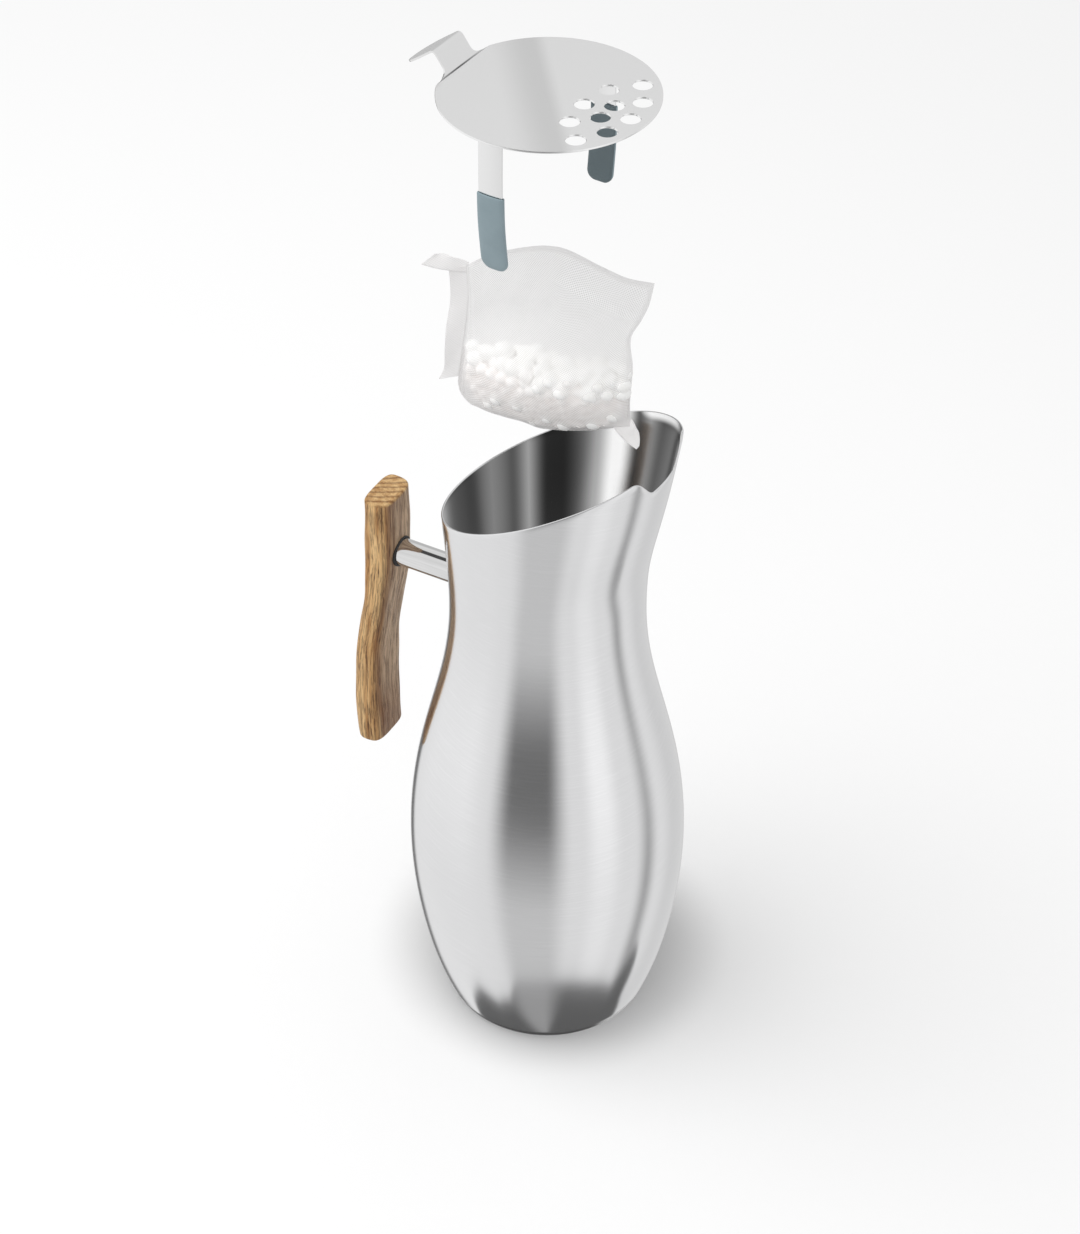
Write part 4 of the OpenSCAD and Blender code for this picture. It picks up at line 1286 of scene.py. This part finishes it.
# %% [markdown]
# ## Loose cloth at the edges
# Spare cloth stands out beyond the seam: a long flange on the left that ends
# in a folded tail, and a small flap at the lower right. Each is a strip between
# two edge curves, with a few soft waves.

# %% Flange, tail and flap
DOUBLE_CLOTH = 0.35


def cloth_strip(name, near, far, wave, replaced, rows=60, cols=14, material=edge_net):
    """A strip between two lines of places, waved along its length."""
    t = np.linspace(0, 1, rows)
    s = np.linspace(0, 1, cols)
    sides = []
    for line in (np.array(near), np.array(far)):
        at = np.linspace(0, 1, len(line))
        sides.append(np.stack([through(at, line[:, k], t) for k in range(3)], -1)[:, None])
    grid = sides[0] * (1 - s[:, None]) + sides[1] * s[:, None]
    grid[..., 1] += wave * np.sin(t * 9 + 1)[:, None] * s ** 1.5
    uv = np.stack([grid[..., 0], grid[..., 2]], -1) * MM
    mesh = surface_mesh(name, grid, round_cols=False, uv=uv)
    piece = new_piece(name, mesh, material, "filter_pouch", [replaced])
    solid = piece.modifiers.new("double_cloth", "SOLIDIFY")
    solid.thickness = DOUBLE_CLOTH * MM
    solid.offset = 0
    print(name, "spans, mm:", np.ptp(grid.reshape(-1, 3), axis=0).round(1))
    return piece


flange = cloth_strip(
    "side_flange",
    [(-39.0, 0, 307.3), (-38.2, 0, 314), (-36.5, 0, 325), (-34.8, 0, 337), (-34.0, 0, 348),
     (-34.2, 0, 359.2)],
    [(-48.6, 0, 302.2), (-46.1, 0.5, 308.6), (-44.6, 0, 319), (-43.8, -0.5, 330), (-42.5, 0, 342),
     (-42.3, 0, 354.6)],
    0.9, "pouch_side_flange")
tail = cloth_strip(
    "side_tail",
    [(-34.6, 0, 355.8), (-42.0, -0.6, 354.6), (-47.8, -1.0, 354.0), (-53.7, -1.4, 354.2)],
    [(-34.2, 0, 360.2), (-39.3, 0.4, 360.7), (-44.2, 0.6, 360.4), (-48.4, 0.2, 359.5)],
    0.5, "pouch_tail", rows=40)
flap = cloth_strip(
    "corner_flap",
    [(27.0, 0, 308.0), (29.8, -0.6, 305.4), (34.0, -0.9, 302.6), (38.3, -0.9, 300.6)],
    [(35.2, 0, 312.5), (37.0, 0.6, 310.2), (38.2, 0.9, 306.8), (38.7, 0.6, 301.4)],
    0.4, "pouch_corner_flap", rows=24, material=flap_net)
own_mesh(flange)

# %% [markdown]
# ## The ceramic beads
# The beads lie loose, so nobody could place them by hand. They start at random
# places between the sheets. In each round every pair that overlaps is pushed
# apart, all beads sink a little, and any that left the pouch is put back. Where
# the sheets are too close for a bead, it is drawn towards the middle of the
# heap. The random start has a fixed seed, so each run gives the same heap.

# %% Settle the beads
BEAD_R = 2.6
BEAD_COUNT = 290
ROUNDS = 160
SINK = 0.12
PUSH = 0.25
HALF_W, HALF_H = 36.5, 36.5
SIDE_END, LOW_END, HIGH_END = 0.88, -0.86, 0.4
PINCHED, ROOM_NEEDED = 1.25, 1.15

rng = np.random.default_rng(7)
beads = np.stack([rng.uniform(-0.85, 0.85, BEAD_COUNT) * HALF_W,
                  rng.uniform(-0.6, 0.6, BEAD_COUNT) * 8,
                  rng.uniform(-0.85, FILL_TOP, BEAD_COUNT) * HALF_H], -1)
for _ in range(ROUNDS):
    beads[:, 2] -= SINK
    gap = beads[:, None] - beads[None]
    apart = np.sqrt((gap**2).sum(-1)) + 1e-6
    push = np.clip(2 * BEAD_R - apart, 0, None) * (apart > 1e-3) * PUSH
    beads = beads + (gap / apart[..., None] * push[..., None]).sum(1)
    u = np.clip(beads[:, 0] / HALF_W, -SIDE_END, SIDE_END)
    v = np.clip(beads[:, 2] / HALF_H, LOW_END, HIGH_END)
    pinched = half_gap(u, v) < BEAD_R * PINCHED
    u = np.where(pinched, u * 0.97, u)
    v = np.where(pinched, v * 0.97 - 0.03 * 0.45, v)
    room_left = np.maximum(half_gap(u, v) - BEAD_R * ROOM_NEEDED, 0.05)
    beads = np.stack([u * HALF_W, np.clip(beads[:, 1], -room_left, room_left), v * HALF_H], -1)
u, v = beads[:, 0] / HALF_W, beads[:, 2] / HALF_H
bead_place = flat_pouch(u, v)
bead_centre = np.stack([bead_place[:, 0], beads[:, 1], bead_place[:, 1]], -1)
print("beads reach up to, mm:", round(float(bead_centre[:, 2].max()), 1))

# %% [markdown]
# Every bead is the same small ball of few faces, a little out of round, and
# all of them are one mesh. Beads at the top of the heap are white and a little
# larger, and deeper ones are a little greyer, which a mark on each carries.

# %% One mesh of many balls
WHITE_LARGER, MIDDLE_LARGER = 0.28, 0.20

ball = bmesh.new()
bmesh.ops.create_icosphere(ball, subdivisions=2, radius=1)
ball.verts.ensure_lookup_table()
ball_points = np.array([p.co for p in ball.verts])
ball_faces = np.array([[p.index for p in f.verts] for f in ball.faces])
ball.free()
depth_share = soft_step((v + 0.46 + 0.10 * u + rng.uniform(-0.10, 0.10, BEAD_COUNT)) / 0.14)
whiteness = np.where(rng.uniform(0, 1, BEAD_COUNT) < 0.10, 1, depth_share)
grown = WHITE_LARGER + MIDDLE_LARGER * soft_step((0.80 - np.abs(u)) / 0.25)
sizes = BEAD_R * rng.uniform(0.90, 1.06, BEAD_COUNT) * (1 + whiteness * grown)
squeeze = rng.uniform(0.90, 1.08, (BEAD_COUNT, 1, 3))
points = bead_centre[:, None] + ball_points[None] * sizes[:, None, None] * squeeze
faces = (np.arange(BEAD_COUNT)[:, None, None] * len(ball_points) + ball_faces[None]).reshape(-1, 3)
bead_mesh = bpy.data.meshes.new("bead_heap")
bead_mesh.from_pydata(points.reshape(-1, 3) * MM, [], faces)
bead_mesh.shade_smooth()
tone = bead_mesh.attributes.new("whiteness", "FLOAT", "POINT")
tone.data.foreach_set("value", np.repeat(whiteness, len(ball_points)).astype(np.float32))
print("beads:", BEAD_COUNT)

# %% Ceramic, and the heap
ceramic, start = new_material("ceramic")
place = start.place()
white_share = start.mark("whiteness")
pits = start.noise(place, 900, 3)
mottle = start.noise(place, 260, 2).step(0.35, 0.65)
deep_bead_tone = mottle.tint(written(240, 236, 234), written(250, 248, 247))
top_bead_tone = mottle.tint(written(250, 249, 247), written(254, 254, 253))
shader = start.node("BsdfPrincipled", (), {
    "Base Color": white_share.tint(deep_bead_tone, top_bead_tone), "Roughness": pits * 0.3 + 0.4,
    "Normal": start.bump(0.4, 0.0002, pits),
    "Emission Color": white_share.tint(written(236, 232, 230), written(150, 150, 150)),
    "Emission Strength": 0.20})
finished(ceramic, shader)
new_piece("bead_heap", bead_mesh, ceramic, "filter_pouch", ["ceramic_beads"])
